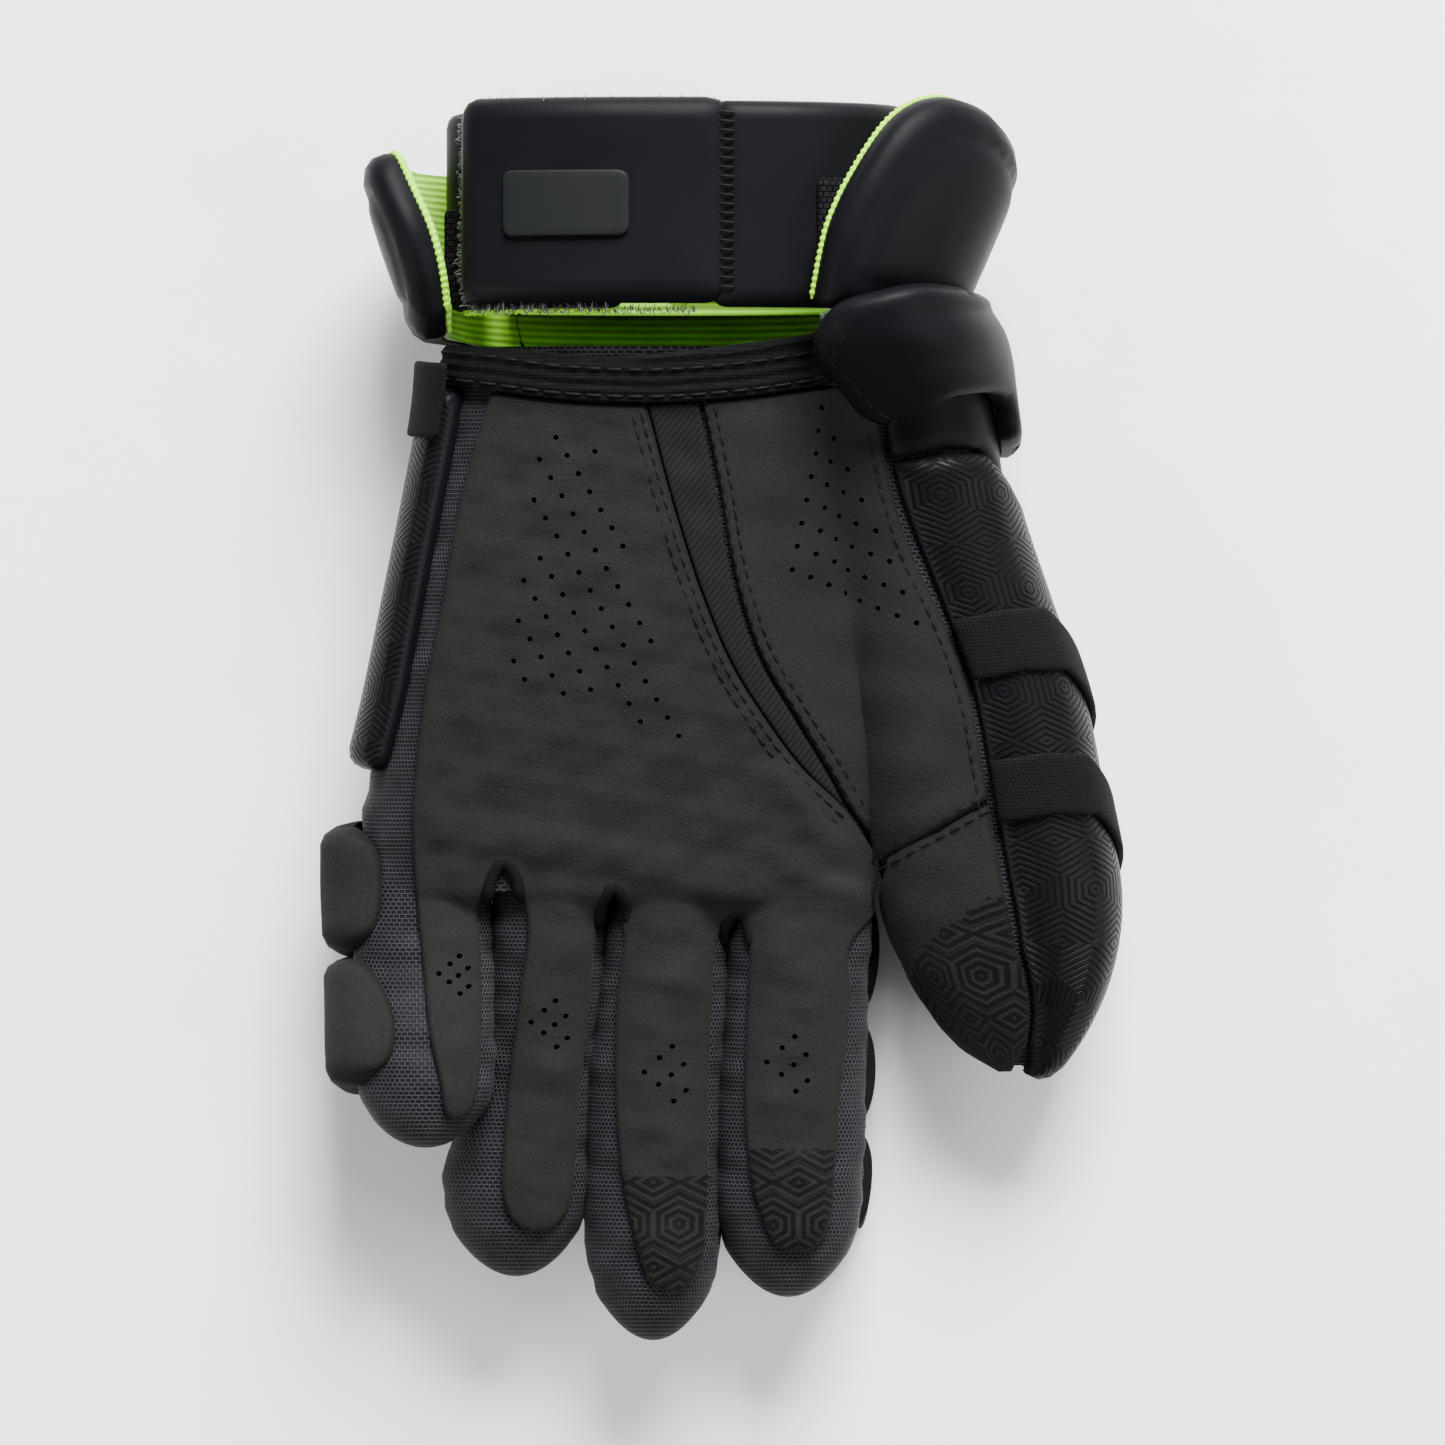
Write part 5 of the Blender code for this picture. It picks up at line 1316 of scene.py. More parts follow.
def pile(tree, out):
    """Nylon hook-and-loop pile, looped and napped: black, with pale flecks of light."""
    flecks = put(tree, "ShaderNodeTexNoise", {"Vector": flat_cloth(tree), "Scale": 1 / 0.8,
                 "Detail": 4, "Roughness": 0.7})
    base = colours().suede
    tone = put(tree, "ShaderNodeMix", {0: flecks.outputs[0], 6: shade(base, 0.2),
               7: shade(base, 3.5)}, data_type="RGBA").outputs[2]
    bump = put(tree, "ShaderNodeBump", {"Strength": 1.0, "Distance": 0.6 * MM,
               "Height": flecks.outputs[0]})
    feed(tree, out, {"Base Color": tone, "Normal": bump.outputs[0], "Roughness": 0.8,
         "Sheen Weight": 0.4})


def rubber(tree, out):
    """Thermoplastic rubber, moulded with a fine spark-eroded face: dull grey."""
    grit = put(tree, "ShaderNodeTexNoise", {"Vector": flat_cloth(tree), "Scale": 1 / 0.35})
    bump = put(tree, "ShaderNodeBump", {"Strength": 0.3, "Distance": 0.05 * MM,
               "Height": grit.outputs[0]})
    feed(tree, out, {"Normal": bump.outputs[0], "Base Color": (*from_srgb("#0e1010"), 1),
         "Roughness": 0.6, "Specular IOR Level": 0.1})


# Columns: the material's name, the function that builds it, the slot of its kind of cloth
SUEDE_FINISH = ("microfibre_suede_napped", suede, "suede")
MESH_FINISH = ("polyester_mesh_warp_knitted", knit, "mesh_fabric")
COVER_FINISH = ("polyurethane_leather_embossed", cover, "textured_cover")
SMOOTH_FINISH = ("neoprene_coated_smooth", smooth_cover, "smooth_cover")
WEB_FINISH = ("polyester_webbing_woven", webbing, "webbing")
ELASTIC_FINISH = ("polyester_elastic_braided", elastic, "webbing")
TWILL_FINISH = ("polyamide_stretch_twill", twill, "webbing")
LINING_FINISH = ("polyester_tricot_brushed", lining, "lining")
THREAD_FINISH = ("nylon_thread_bonded", thread, "webbing")
LIME_FINISH = ("polyester_overlock_thread", lime_thread, "lining")
PILE_FINISH = ("nylon_loop_pile", pile, "loop_pile")
RUBBER_FINISH = ("rubber_moulded_eroded", rubber, "rubber")


def beside(path, away):
    """A line moved sideways, to its right where away is positive."""
    path = np.asarray(path, float)
    along = directions(path)
    return path + away * np.stack([along[:, 1], -along[:, 0]], -1)


def declare_sheet(made, outline):
    """Works out how large the flat cloth is that a sheet is cut from: its outline, let out to the
    area that it covers on the form. The sizes are not kept."""
    corners = np.array(outline, float)
    drawn = abs(signed_area(corners))
    upper = made["upper"]
    sides = [p.area for p in made.data.polygons if all(i >= upper for i in p.vertices)]
    area = sum(sides) / MM**2
    axes = np.linalg.svd(corners - corners.mean(0), full_matrices=False)[2]
    long, wide = np.ptp(corners @ axes.T, axis=0) * math.sqrt(area / drawn)
    if area < 0.32 * long * wide:
        wide = area / long


def puff(made, rim):
    """Swells a pad's cover over its foam in a short cloth simulation, its seams held fast."""
    mesh = made.data
    count = len(mesh.vertices)
    rest = np.empty(count * 3, np.float32)
    mesh.vertices.foreach_get("co", rest)
    rest = rest.reshape(-1, 3)
    cloth = np.empty(count * 3, np.float32)
    mesh.attributes["cloth"].data.foreach_get("vector", cloth)
    free = (np.arange(count) >= made["upper"]) & (cloth.reshape(-1, 3)[:, 2] > rim)
    held = made.vertex_groups.new(name="held")
    held.add([int(i) for i in np.flatnonzero(~free)], 1.0, "REPLACE")
    change = made.modifiers.new("puff", "CLOTH")
    change.settings.quality = 4
    change.settings.mass = 0.2
    change.settings.air_damping = 4
    change.settings.tension_stiffness = 8
    change.settings.compression_stiffness = 8
    change.settings.shear_stiffness = 3
    change.settings.bending_stiffness = 0.6
    change.settings.use_pressure = True
    change.settings.uniform_pressure_force = 3.0
    change.settings.effector_weights.gravity = 0.0
    change.settings.vertex_group_mass = "held"
    change.collision_settings.use_collision = False
    change.collision_settings.use_self_collision = False
    change.point_cache.frame_end = 14
    scene = bpy.context.scene
    for number in range(1, 15):
        scene.frame_set(number)
    shaped = made.evaluated_get(bpy.context.evaluated_depsgraph_get()).to_mesh()
    moved = np.empty(count * 3, np.float32)
    shaped.vertices.foreach_get("co", moved)
    made.evaluated_get(bpy.context.evaluated_depsgraph_get()).to_mesh_clear()
    shift = np.nan_to_num(moved.reshape(-1, 3) - rest)
    length = np.maximum(np.linalg.norm(shift, axis=1, keepdims=True), 1e-9)
    most = size("puff") * MM
    shift = shift / length * most * np.tanh(length / most)
    made.modifiers.remove(change)
    made.vertex_groups.remove(held)
    scene.frame_set(1)
    swollen = rest + shift
    swollen[:, 2] = np.maximum(swollen[:, 2], 0.0)
    mesh.vertices.foreach_set("co", swollen.ravel())
    mesh.update()


def air_holes():
    """The middles of the palm's air holes: two fans on the palm and a cluster per finger."""
    patch = [(-48.5, 121.1), (-35.3, 118.5), (-26.0, 90.7), (-18.1, 62.9), (-8.9, 39.7),
             (-15.5, 40.5), (-32.7, 49.7), (-53.8, 52.4), (-56.4, 62.9), (-51.2, 92.0)]
    i, j = np.meshgrid(np.arange(-12, 30), np.arange(-3, 22))
    start = np.array((-44.4, 119.2))
    first, second = np.array([7.2, 1.06]), np.array([2.9, -4.76])
    points = start + i.ravel()[:, None] * first + j.ravel()[:, None] * second
    points = points[inside(patch, points)]
    fan = []
    corner = np.array((25.8, 127.2))
    for row in range(8):
        left = corner + row * np.array([-1.23, -6.1])
        right = corner + row * np.array([3.52, -8.1])
        fan += [left + (right - left) * n / max(row, 1) for n in range(row + 1)]
    cluster = np.array([(2.35, 8.5), (-1.4, 5.0), (5.6, 2.9), (-5.9, 0.5), (2, -0.3),
                        (-1.7, -3.3), (6.0, -5.2), (2.6, -8.5)])
    spots = [((-72.3, -23.0), 0.6), ((-46.9, -35.4), 0.72), ((-16.3, -48.6), 0.85), ((16.3, -46.0), 0.85)]
    fingers = [np.array(spot) + share * cluster for spot, share in spots]
    return np.vstack([points, np.array(fan), *fingers])


def leather_folds(flat):
    """Folds worn into the palm: across the web line, round the thumb's crotch, at the bends."""
    x, y = flat[:, 0], flat[:, 1]
    creases = [
        (((-75.0, 15.3), (-30.0, 10.0)), 5, 0.8), (((-32.7, 10.0), (9.7, -3.2)), 5, 0.7),
        (((36.1, -3.2), (9.7, 10.0)), 4, 1.0), (((33.4, 7.4), (12.3, 31.2)), 5, 0.9),
        (((41.4, 2.1), (41.4, 49.7)), 5, 0.7), (((-19.4, 134.3), (9.7, 65.6)), 7, 0.3),
        (((-80.2, -32.3), (-64.4, -29.6)), 4, 0.6), (((-57.8, -45.5), (-37.9, -49.4)), 4, 0.6),
        (((-27.4, -61.3), (-4.9, -64.0)), 4, 0.5), (((5.7, -56.1), (28.2, -53.4)), 4, 0.5),
        (((-53.8, -11.1), (-35.3, -16.4)), 4, 0.6), (((-24.7, -21.7), (-6.2, -25.6)), 4, 0.6),
        (((9.7, -19.0), (30.8, -24.3)), 4, 0.7), (((-67.0, 86.7), (-43.2, 102.6)), 8, 0.3),
    ]
    total = 0.22 * crinkle(x, y, 11.0) + 0.12 * crinkle(x, y, 5.0, 2)
    return folded(flat, total, creases, 0.75)


def folded(flat, total, creases, share):
    """Adds folds to a cloth's unevenness. Their columns: two ends, width, height."""
    for ends, width, height in creases:
        total = total + share * height * ridge(flat[:, 0], flat[:, 1], ends, width)
    return size("wrinkle") * np.maximum(total, -0.25)


def thenar_folds(flat):
    """Folds worn into the ball of the thumb."""
    creases = [(((41.4, 7.4), (54.6, 49.7)), 5, 0.8), (((33.4, 25.9), (46.7, 70.9)), 6, 0.5),
               (((46.7, 12.7), (70.5, 25.9)), 5, 0.6)]
    return folded(flat, 0.22 * crinkle(flat[:, 0], flat[:, 1], 12.0, 4), creases, 1.0)


def grip_zone(flat):
    """Where the fingertips carry their printed grip."""
    x, y = flat[:, 0], flat[:, 1]
    middle = (x < 1.2) & (x > -32.7) & (y < -75.9)
    index = (x > 1.2) & (y < -69.3)
    return (middle | index).astype(float)


def palm_outline():
    """The palm leather's edge, its parts in order: down the left with fingers, and back up."""
    names = list(LANES)
    left = palm_points(PALM_LEFT_EDGE)
    for number, name in enumerate(names):
        left += strip_outline(name)
        if number < 3:
            left.append(slit_head(number, name))
    left += palm_points([CROTCH])
    right = curved(palm_points([CREASE_END] + STRIP_LEFT_EDGE), 2.2)
    return curved(left, 2.2), right


def palm_pieces():
    left, right = palm_outline()
    outline = left + right[:-1] + binding_edge(right[-1][0], left[0][0])
    made = palm_sheet("palm_main_suede", outline, SEAT, SUEDE, SUEDE_FINISH, spacing=1.7,
                      edge=1.3, rim=0.35, swell=leather_folds, holes=air_holes(),
                      hole_radius=size("perforation"), zone=grip_zone)
    declare_sheet(made, outline)

    shift = 1.5 * GAP
    left = [(x + shift, y) for x, y in curved(palm_points(STRIP_LEFT_EDGE), 2.5)]
    right = curved(palm_points(STRIP_RIGHT_EDGE), 2.5)
    strip = left[:-1] + binding_edge(right[-1][0], left[-1][0])[::-1] + right[::-1][1:-1]
    made = palm_sheet("palm_stretch_twill", strip, SEAT, 0.7 * SUEDE, TWILL_FINISH, spacing=1.8,
                      edge=1.0, swell=lambda flat: 0.5 * crinkle(flat[:, 0], flat[:, 1], 9, 3))
    declare_sheet(made, strip)

    outline = thenar_outline()
    made = palm_sheet("palm_thenar_suede", outline, SEAT, SUEDE, SUEDE_FINISH, spacing=1.8,
                      edge=1.3, rim=0.35, swell=thenar_folds, holes=air_holes(),
                      hole_radius=size("perforation"))
    declare_sheet(made, outline)


def thenar_outline():
    shift = 1.5 * GAP
    inner = [(x + 2 * shift, y) for x, y in curved(palm_points(STRIP_RIGHT_EDGE), 2.5)[1:]]
    ys = np.linspace(0.168 * HAND_LENGTH, 0.865 * HAND_LENGTH, 34)
    seam = [thumb_seam_point(y, 3.0) for y in ys]
    corner = palm_points([THENAR_CORNER])[0]
    top = binding_edge(inner[-1][0], corner[0])[::-1]
    start = palm_points([CREASE_END, THUMB_SEAM_START])
    start = [(start[0][0] + 4 * shift, start[0][1] + 2 * shift),
             (start[1][0] + shift, start[1][1] + shift)]
    return start + seam + [corner] + top[1:] + inner[::-1][1:]


def binding_piece():
    band = curved(palm_points(BINDING_LOWER), 2.5) + curved(palm_points(BINDING_UPPER), 2.5)

    def ridges(flat):
        low = np.interp(flat[:, 0], *np.array(palm_points(BINDING_LOWER)).T)
        return 0.35 * np.cos(2 * math.pi * (flat[:, 1] - low) / 3.0)

    made = palm_sheet("wrist_binding_webbing", band, 1.6 * SEAT, BINDING, WEB_FINISH,
                      spacing=0.9, edge=1.6, dent=ridges)
    declare_sheet(made, band)


def thumb_leather_outline():
    corner = thumb_seam_point(0.160 * HAND_LENGTH, 3.0)
    start = palm_points([THUMB_SEAM_START])[0]
    middle = ((start[0] + corner[0]) / 2, (start[1] + corner[1]) / 2)
    top = [(upper_angle(THUMB, x, y), y - GAP) for x, y in (corner, middle, start)]
    side = [(150.0, 0.045), (186.0, -0.05), (200.0, -0.15), (190.0, -0.28)]
    side = [(a, v * HAND_LENGTH) for a, v in side]
    tip = float(thumb_y(0.988))
    seam_ys = thumb_y(np.array([0.955, 0.90, 0.82, 0.74, 0.66]))
    seam = [(float(thumb_seam(y)) + 3, float(y)) for y in seam_ys]
    return top + side + [(120.0, tip), (82.0, tip)] + seam


def thumb_grip_zone(flat):
    angle = flat[:, 0] / round_plane(THUMB, -20.0)
    return (flat[:, 1] < 2 - 0.26 * (angle - 80)).astype(float)


def thumb_leather_piece():
    outline = thumb_leather_outline()

    def folds(angle, y):
        return 0.35 * crinkle(angle / 2, y, 10.0, 6)

    round_cloth("thumb_palm_suede", outline, THUMB, SEAT, SUEDE, SUEDE_FINISH, "thumb_shell",
                spacing=1.8, edge=1.3, rim=0.35, swell=folds, zone=thumb_grip_zone)


def shells():
    hand_ys = np.linspace(HAND_LENGTH, -0.5, 60)

    def sag(angles, y):
        side = np.clip(np.cos(np.radians(angles - 178)), 0, 1) ** 2
        return 0.7 * side * crinkle(angles / 4, np.full(len(angles), y), 7.0, 1)

    shell_tube("hand_shell_mesh", HAND, hand_ys, SHELL_WALL, 120, MESH_FINISH, False, sag)
    for number, (name, form) in enumerate(FINGERS.items()):
        ys = finer_stations(form, 3.0, 40)

        def creases(angles, y, seed=number, tip=form.tip[1]):
            bend = crinkle(angles / 7, np.full(len(angles), y), 5.5, seed)
            sides = 1.3 * np.abs(np.cos(np.radians(angles))) ** 3
            fade = np.clip((y - tip) / 18, 0, 1) ** 2
            return np.clip(-y / 10, 0, 1) * (0.45 * bend * fade + sides * min(2 * fade, 1))

        shell_tube(name + "_shell_mesh", form, ys, SHELL_WALL, 72, MESH_FINISH, True, creases)
    hollow = HAND.grown(-0.5)

    def outside_hand(points):
        x, z, half_width, half_height, power = hollow.section(points[:, 1])
        across = np.abs((points[:, 0] - x) / half_width) ** power
        return (across + np.abs((points[:, 2] - z) / half_height) ** power > 1) | (points[:, 1] < 0)

    ys = [y for y in finer_stations(THUMB, thumb_y(0.0), 60) if y > thumb_y(0.984)]
    shell_tube("thumb_shell_mesh", THUMB, ys, SHELL_WALL, 84, MESH_FINISH, True,
               keep=outside_hand)


def finer_stations(form, start, rows):
    """Y stations from a tube's open end to its tip, close together where it rounds off."""
    round_start, tip, _ = form.tip
    turn = np.radians(np.linspace(5, 88, 20))
    return list(np.linspace(start, round_start, rows)) + list(
        round_start + (tip - round_start) * np.sin(turn))


def round_cloth(name, outline, form, inner, thickness, finish, under, **more):
    """A sheet of cloth round a form; the named piece that it lies on is not used."""
    made = round_sheet(name, outline, form, inner, thickness, finish, **more)
    declare_sheet(made, [(a * made["scale"], y) for a, y in outline])
    return made


def padded_round(name, outline, form, inner, thickness, finish, seam, fill=0.9, **more):
    """A stuffed panel round a form, swollen by the cloth simulation."""
    made = round_sheet(name, outline, form, inner, thickness, finish, **more)
    puff(made, seam)
    return made


def thumb_padding():
    low = THUMB_BACK_ANGLE
    slack = 2.5 * GAP / THUMB_LENGTH
    start = float(thumb_y(0.01))
    sleeve = [(a, min(y, start)) for a, y in thumb_ring(0.01, SLEEVE_END, low)]
    made = round_sheet("thumb_sleeve_smooth", sleeve, THUMB, SEAT, THUMB_SLEEVE, SMOOTH_FINISH,
                       spacing=2.2, edge=3.0, rim=0.3)
    spans = {"upper": (SLEEVE_END + slack, UPPER_JOINT),
             "middle": (UPPER_JOINT + slack, MIDDLE_JOINT)}
    for name, (first, last) in spans.items():
        padded_round(f"thumb_pad_{name}_cover", thumb_ring(first, last, low), THUMB, SEAT,
                     thumb_pad_height, COVER_FINISH, 2.5, spacing=2.2, edge=5.0, rim=0.25)
    cap_start = thumb_ring(MIDDLE_JOINT + slack, MIDDLE_JOINT + slack, low)[:7]
    seam = thumb_y(np.array([0.72, 0.82, 0.90, 0.955]))
    seam = [(float(thumb_seam(y)), float(y)) for y in seam]
    tip = float(thumb_y(0.988))
    cap = cap_start + seam + [(30, tip), (-20, tip), (low, tip + 3)]
    padded_round("thumb_cap_cover", cap, THUMB, SEAT, thumb_pad_height, COVER_FINISH, 2.5,
                 spacing=2.2, edge=5.0, rim=0.25)
    for number, joint in ((1, UPPER_JOINT), (2, MIDDLE_JOINT)):
        outline = thumb_ring(joint - BAND_HALF_WIDTH, joint + BAND_HALF_WIDTH, low + 4)
        round_cloth(f"thumb_band_{number}_webbing", outline, THUMB, over_thumb_pad, WEBBING,
                    WEB_FINISH, "thumb_pad_middle_cover", spacing=1.8, edge=1.6)


def over_thumb_pad(angle, y):
    return SEAT + thumb_pad_height(angle, y) + GAP


def back_padding():
    bands = {"upper": (0.985, 0.70), "middle": (0.69, 0.44), "knuckle": (0.43, 0.11)}
    for name, (top, low) in bands.items():
        halves = {"": (224, 312)}
        if name != "upper":
            halves = {"_outer": (224, 269.3), "_inner": (270.7, 316)}
        for side, (left, right) in halves.items():
            outline = rounded_box(left, right, low * HAND_LENGTH, top * HAND_LENGTH, 5.0)
            padded_round(f"back_pad_{name}{side}_cover", outline, HAND, SEAT, BACK_PAD * 1.4,
                         COVER_FINISH, 3.0, spacing=2.8, edge=8.0, rim=0.2)
    edge = rounded_box(152, 214, 0.22 * HAND_LENGTH, 0.920 * HAND_LENGTH, 4.0)
    padded_round("edge_pad_cover", edge, HAND, SEAT, EDGE_PAD, COVER_FINISH, 2.5,
                 spacing=2.2, edge=4.5, rim=0.25)
    tab = rounded_box(SIDE_TAB_LOW, SIDE_TAB_HIGH, 0.83 * HAND_LENGTH, 0.975 * HAND_LENGTH, 1.5)
    round_cloth("side_tab_webbing", tab, HAND, SEAT + EDGE_PAD + GAP, WEBBING, WEB_FINISH,
                "edge_pad_cover", spacing=1.2, edge=1.0)


def pinky_flap(angle, y):
    """The little finger's rolls thin out into a flap of suede over the mesh."""
    return PINKY_PAD * (0.2 + 0.8 * np.clip((angle - 128) / 42, 0, 1) ** 0.8)


def finger_padding():
    rolls = {
        "pinky": [(-0.24, 0.24, 122, 236), (0.27, 0.76, 112, 236)],
        "ring": [(0.02, 0.30, 238, 302), (0.33, 0.56, 238, 302), (0.59, 0.84, 240, 300)],
        "middle": [(0.02, 0.28, 238, 302), (0.31, 0.53, 238, 302), (0.56, 0.82, 240, 300)],
        "index": [(0.03, 0.30, 238, 338), (0.33, 0.57, 238, 338), (0.60, 0.82, 240, 336)],
    }
    for name, rows in rolls.items():
        length, left, right = LANES[name]
        reach = 2.5 if name == "index" else -0.4
        lane = (lambda y, e=left: e(y) + 0.4, lambda y, e=right, r=reach: e(y) + r)
        lane = None if name == "pinky" else lane
        thick = pinky_flap if name == "pinky" else FINGER_PAD * 1.4
        for number, (first, last, low, high) in enumerate(rows, 1):
            top, base = -first * length, -last * length
            outline = rounded_box(low, high, base, top, 3.0)
            if name == "pinky":
                reach = top - base
                flap = [(high, base + 1), (high, top - 1), (176, top), (148, top - 0.03 * reach),
                        (126, top - 0.2 * reach), (low, top - 0.52 * reach),
                        (low + 8, top - 0.8 * reach), (150, base + 0.06 * reach), (176, base)]
                outline = [(a / 3, y) for a, y in curved([(3 * a, y) for a, y in flap], 3.0, True)]
            if name == "index":
                middle, half = (top + base) / 2, (top - base) / 2 + 0.2
                lane = (lane[0], lambda y, e=right, m=middle, h=half: e(y) - 0.4 + 4.4 * np.sqrt(
                    np.clip(1 - ((y - m) / h) ** 2, 0, 1)))
            padded_round(f"{name}_pad_{number}_suede", outline, FINGERS[name], SEAT, thick,
                         SUEDE_FINISH, 2.0, lane=lane, spacing=2.2, edge=4.5, rim=0.25)


def cuff_outlines():
    """The outlines of the cuff's panels, in degrees round it and millimetres of Y."""
    start = float(HAND_LENGTH + GAP)
    slack = 0.6
    high, low = BACK_HIGH_ANGLE - 360 + slack, BACK_LOW_ANGLE - slack
    flare = float(cuff_y(FLARE_TOP))
    thumb_wing = curved(cuff_points(WING_THUMB), 3.0)
    thumb_wing += [(high, flare), (high, start), (0.0, start), (45.0, start)]
    pinky_wing = curved(cuff_points(WING_PINKY), 3.0)
    pinky_wing += [(low, flare), (low, start), (166.0, start)]
    back = rounded_box(BACK_LOW_ANGLE, BACK_HIGH_ANGLE, start, float(cuff_y(BACK_TOP)), 3.0)
    return {"wing_thumb": thumb_wing, "wing_pinky": pinky_wing, "cuff_back": back}


def cuff_panels():
    for name, outline in cuff_outlines().items():
        padded_round(f"{name}_smooth", outline, CUFF, -CUFF_WALL, CUFF_WALL, SMOOTH_FINISH, 4.0,
                     spacing=2.8, edge=7.0, rim=0.3, grooves=[(10.5, 1.6, 0.9)])
        inner = -CUFF_WALL - GAP - LINING
        lining = name.replace("wing", "lining").replace("cuff", "lining")
        round_cloth(f"{lining}_tricot", outline, CUFF, inner, LINING, LINING_FINISH,
                    f"{name}_smooth", spacing=2.8, edge=1.5,
                    dent=lambda a, y: 0.4 * crinkle(a * 1.2, y, 12, 5))


def wrap_range():
    low = float(cuff_y(0.15))
    return low, low + WRAP_LENGTH


def wrist_wrap():
    low, high = wrap_range()
    wall = WRAP_WALL - GAP
    flap = -LAYER_GAP - LOOP_PILE - LAYER_GAP - WRAP_FLAP
    back = rounded_box(231, 329, low, high, 3.0)
    right = rounded_box(-30, WRAP_SEAM + 5, low, high, 3.0)
    left = rounded_box(98, 226, low, high - 2, 3.0)
    lining = rounded_box(-30, WRAP_SEAM + 15, low, high, 3.0)
    look = {"spacing": 2.6, "edge": 4.0, "rim": 0.3}
    for name, outline, inner, thick in (("back", back, GAP, wall), ("right", right, GAP, wall),
                                        ("left", left, flap, WRAP_FLAP)):
        made = round_sheet(f"wrap_{name}_smooth", outline, WRAP, inner, thick, SMOOTH_FINISH,
                           **look)
    flap = flap - GAP - LINING
    under = -LINING - LAYER_GAP
    for name, outline, inner in (("back", back, under), ("right", lining, under),
                                 ("left", left, flap)):
        round_cloth(f"wrap_lining_{name}_tricot", outline, WRAP, inner, LINING, LINING_FINISH,
                    f"wrap_{name}_smooth", spacing=2.6, edge=1.5,
                    dent=lambda a, y: 0.35 * crinkle(a, y, 11, 7))


def wrist_tab():
    low, high = wrap_range()
    patch = rounded_box(100, 150, low + 2, high - 4, 3.0)
    made = round_cloth("loop_patch_pile", patch, WRAP, -LAYER_GAP - LOOP_PILE, LOOP_PILE,
                       PILE_FINISH, "wrap_left_smooth", spacing=2.0, edge=1.2,
                       dent=lambda a, y: 0.25 * crinkle(a, y, 2.5, 8))
    scale = made["scale"]
    tab = rounded_box(WRAP_SEAM + 0.5, 146, low + 1, high + 1, 6.0)
    padded_round("wrist_tab_smooth", tab, WRAP, GAP, TAB_THICKNESS, SMOOTH_FINISH, 3.0, fill=0.8,
                 spacing=2.0, edge=5.0, rim=0.25)
    badge = rounded_box(96, 128, low + 0.34 * WRAP_LENGTH, low + 0.66 * WRAP_LENGTH, 2.5)
    round_sheet("tab_badge_rubber", badge, WRAP, GAP + TAB_THICKNESS + LAYER_GAP, BADGE,
                RUBBER_FINISH, spacing=1.6, edge=0.7)
    place = placer(WRAP, scale)
    left = [(147.2 * scale, high - 4), (147.4 * scale, low + 6), (144.5 * scale, low + 0.4),
            (84 * scale, low - 0.2)]
    fuzz("tab_hook_curls", place, left, PILE_FINISH, per_mm=3.2, reach=3.4, offset=1.2,
         radius=0.13)
    top = [(140 * scale, high + 0.8), (80 * scale, high + 0.8)]
    fuzz("tab_top_curls", place, top, PILE_FINISH, per_mm=0.8, reach=2.4, offset=3.0, seed=5,
         radius=0.11)
    edge = (WRAP_SEAM + 2.2) * scale
    rungs = []
    for y in np.arange(low + 5, high - 3, 2.4):
        rungs.append((place, [(edge - 1.4, y), (edge + 1.4, y + 0.4)], WRAP_WALL + 0.2))
    stitches("tab_seam_thread", rungs, THREAD_FINISH, length=2.6, gap=0.1, radius=0.3, rise=0.3)


def elastics():
    low, high = float(cuff_y(0.26)), float(cuff_y(0.66))
    right = rounded_box(37, 53, low, high, 1.5)
    left = rounded_box(150, 164, float(cuff_y(0.17)), float(cuff_y(0.55)), 1.5)
    for name, outline, inner in (("elastic_thumb", right, WRAP_WALL + LAYER_GAP),
                                 ("elastic_pinky", left, -LAYER_GAP - LOOP_PILE)):
        scale = round_plane(WRAP, (outline[0][1] + outline[-1][1]) / 2)

        def cords(angle, y):
            return 0.28 * np.cos(2 * math.pi * angle * scale / 1.9)

        round_cloth(f"{name}_braid", outline, WRAP, inner, WEBBING, ELASTIC_FINISH,
                    "wrap_right_smooth", spacing=0.7, edge=0.9, dent=cords)


def strap_outline():
    lower, upper = palm_points(STRAP_LOWER), palm_points(STRAP_UPPER)
    side = [(a, v * HAND_LENGTH) for v, a in STRAP_SIDE]
    lower, upper = ([(upper_angle(STRAP, x, y), y) for x, y in e] for e in (lower, upper))
    return lower + side + upper


def thumb_strap():
    corners = strap_outline()
    outline = [(a / 2, y) for a, y in curved([(2 * a, y) for a, y in corners], 2.5, closed=True)]
    made = padded_round("thumb_strap_smooth", outline, STRAP, 0.0, THUMB_STRAP, SMOOTH_FINISH,
                        3.0, fill=0.8, spacing=2.0, edge=3.2, rim=0.45)
    scale = made["scale"]
    place = placer(STRAP, scale)
    end = [(a * scale, y) for a, y in (corners[-1], corners[0], corners[1], corners[2])]
    fuzz("strap_hook_curls", place, end, PILE_FINISH, per_mm=2.2, reach=2.4, offset=1.2,
         seed=9, radius=0.11)
    rows = [(place, beside(curved(end, 1.0), 5.0), THUMB_STRAP - 0.2)]
    stitches("strap_end_thread", rows, THREAD_FINISH, length=size("stitch"), gap=0.8,
             radius=size("thread") / 2)


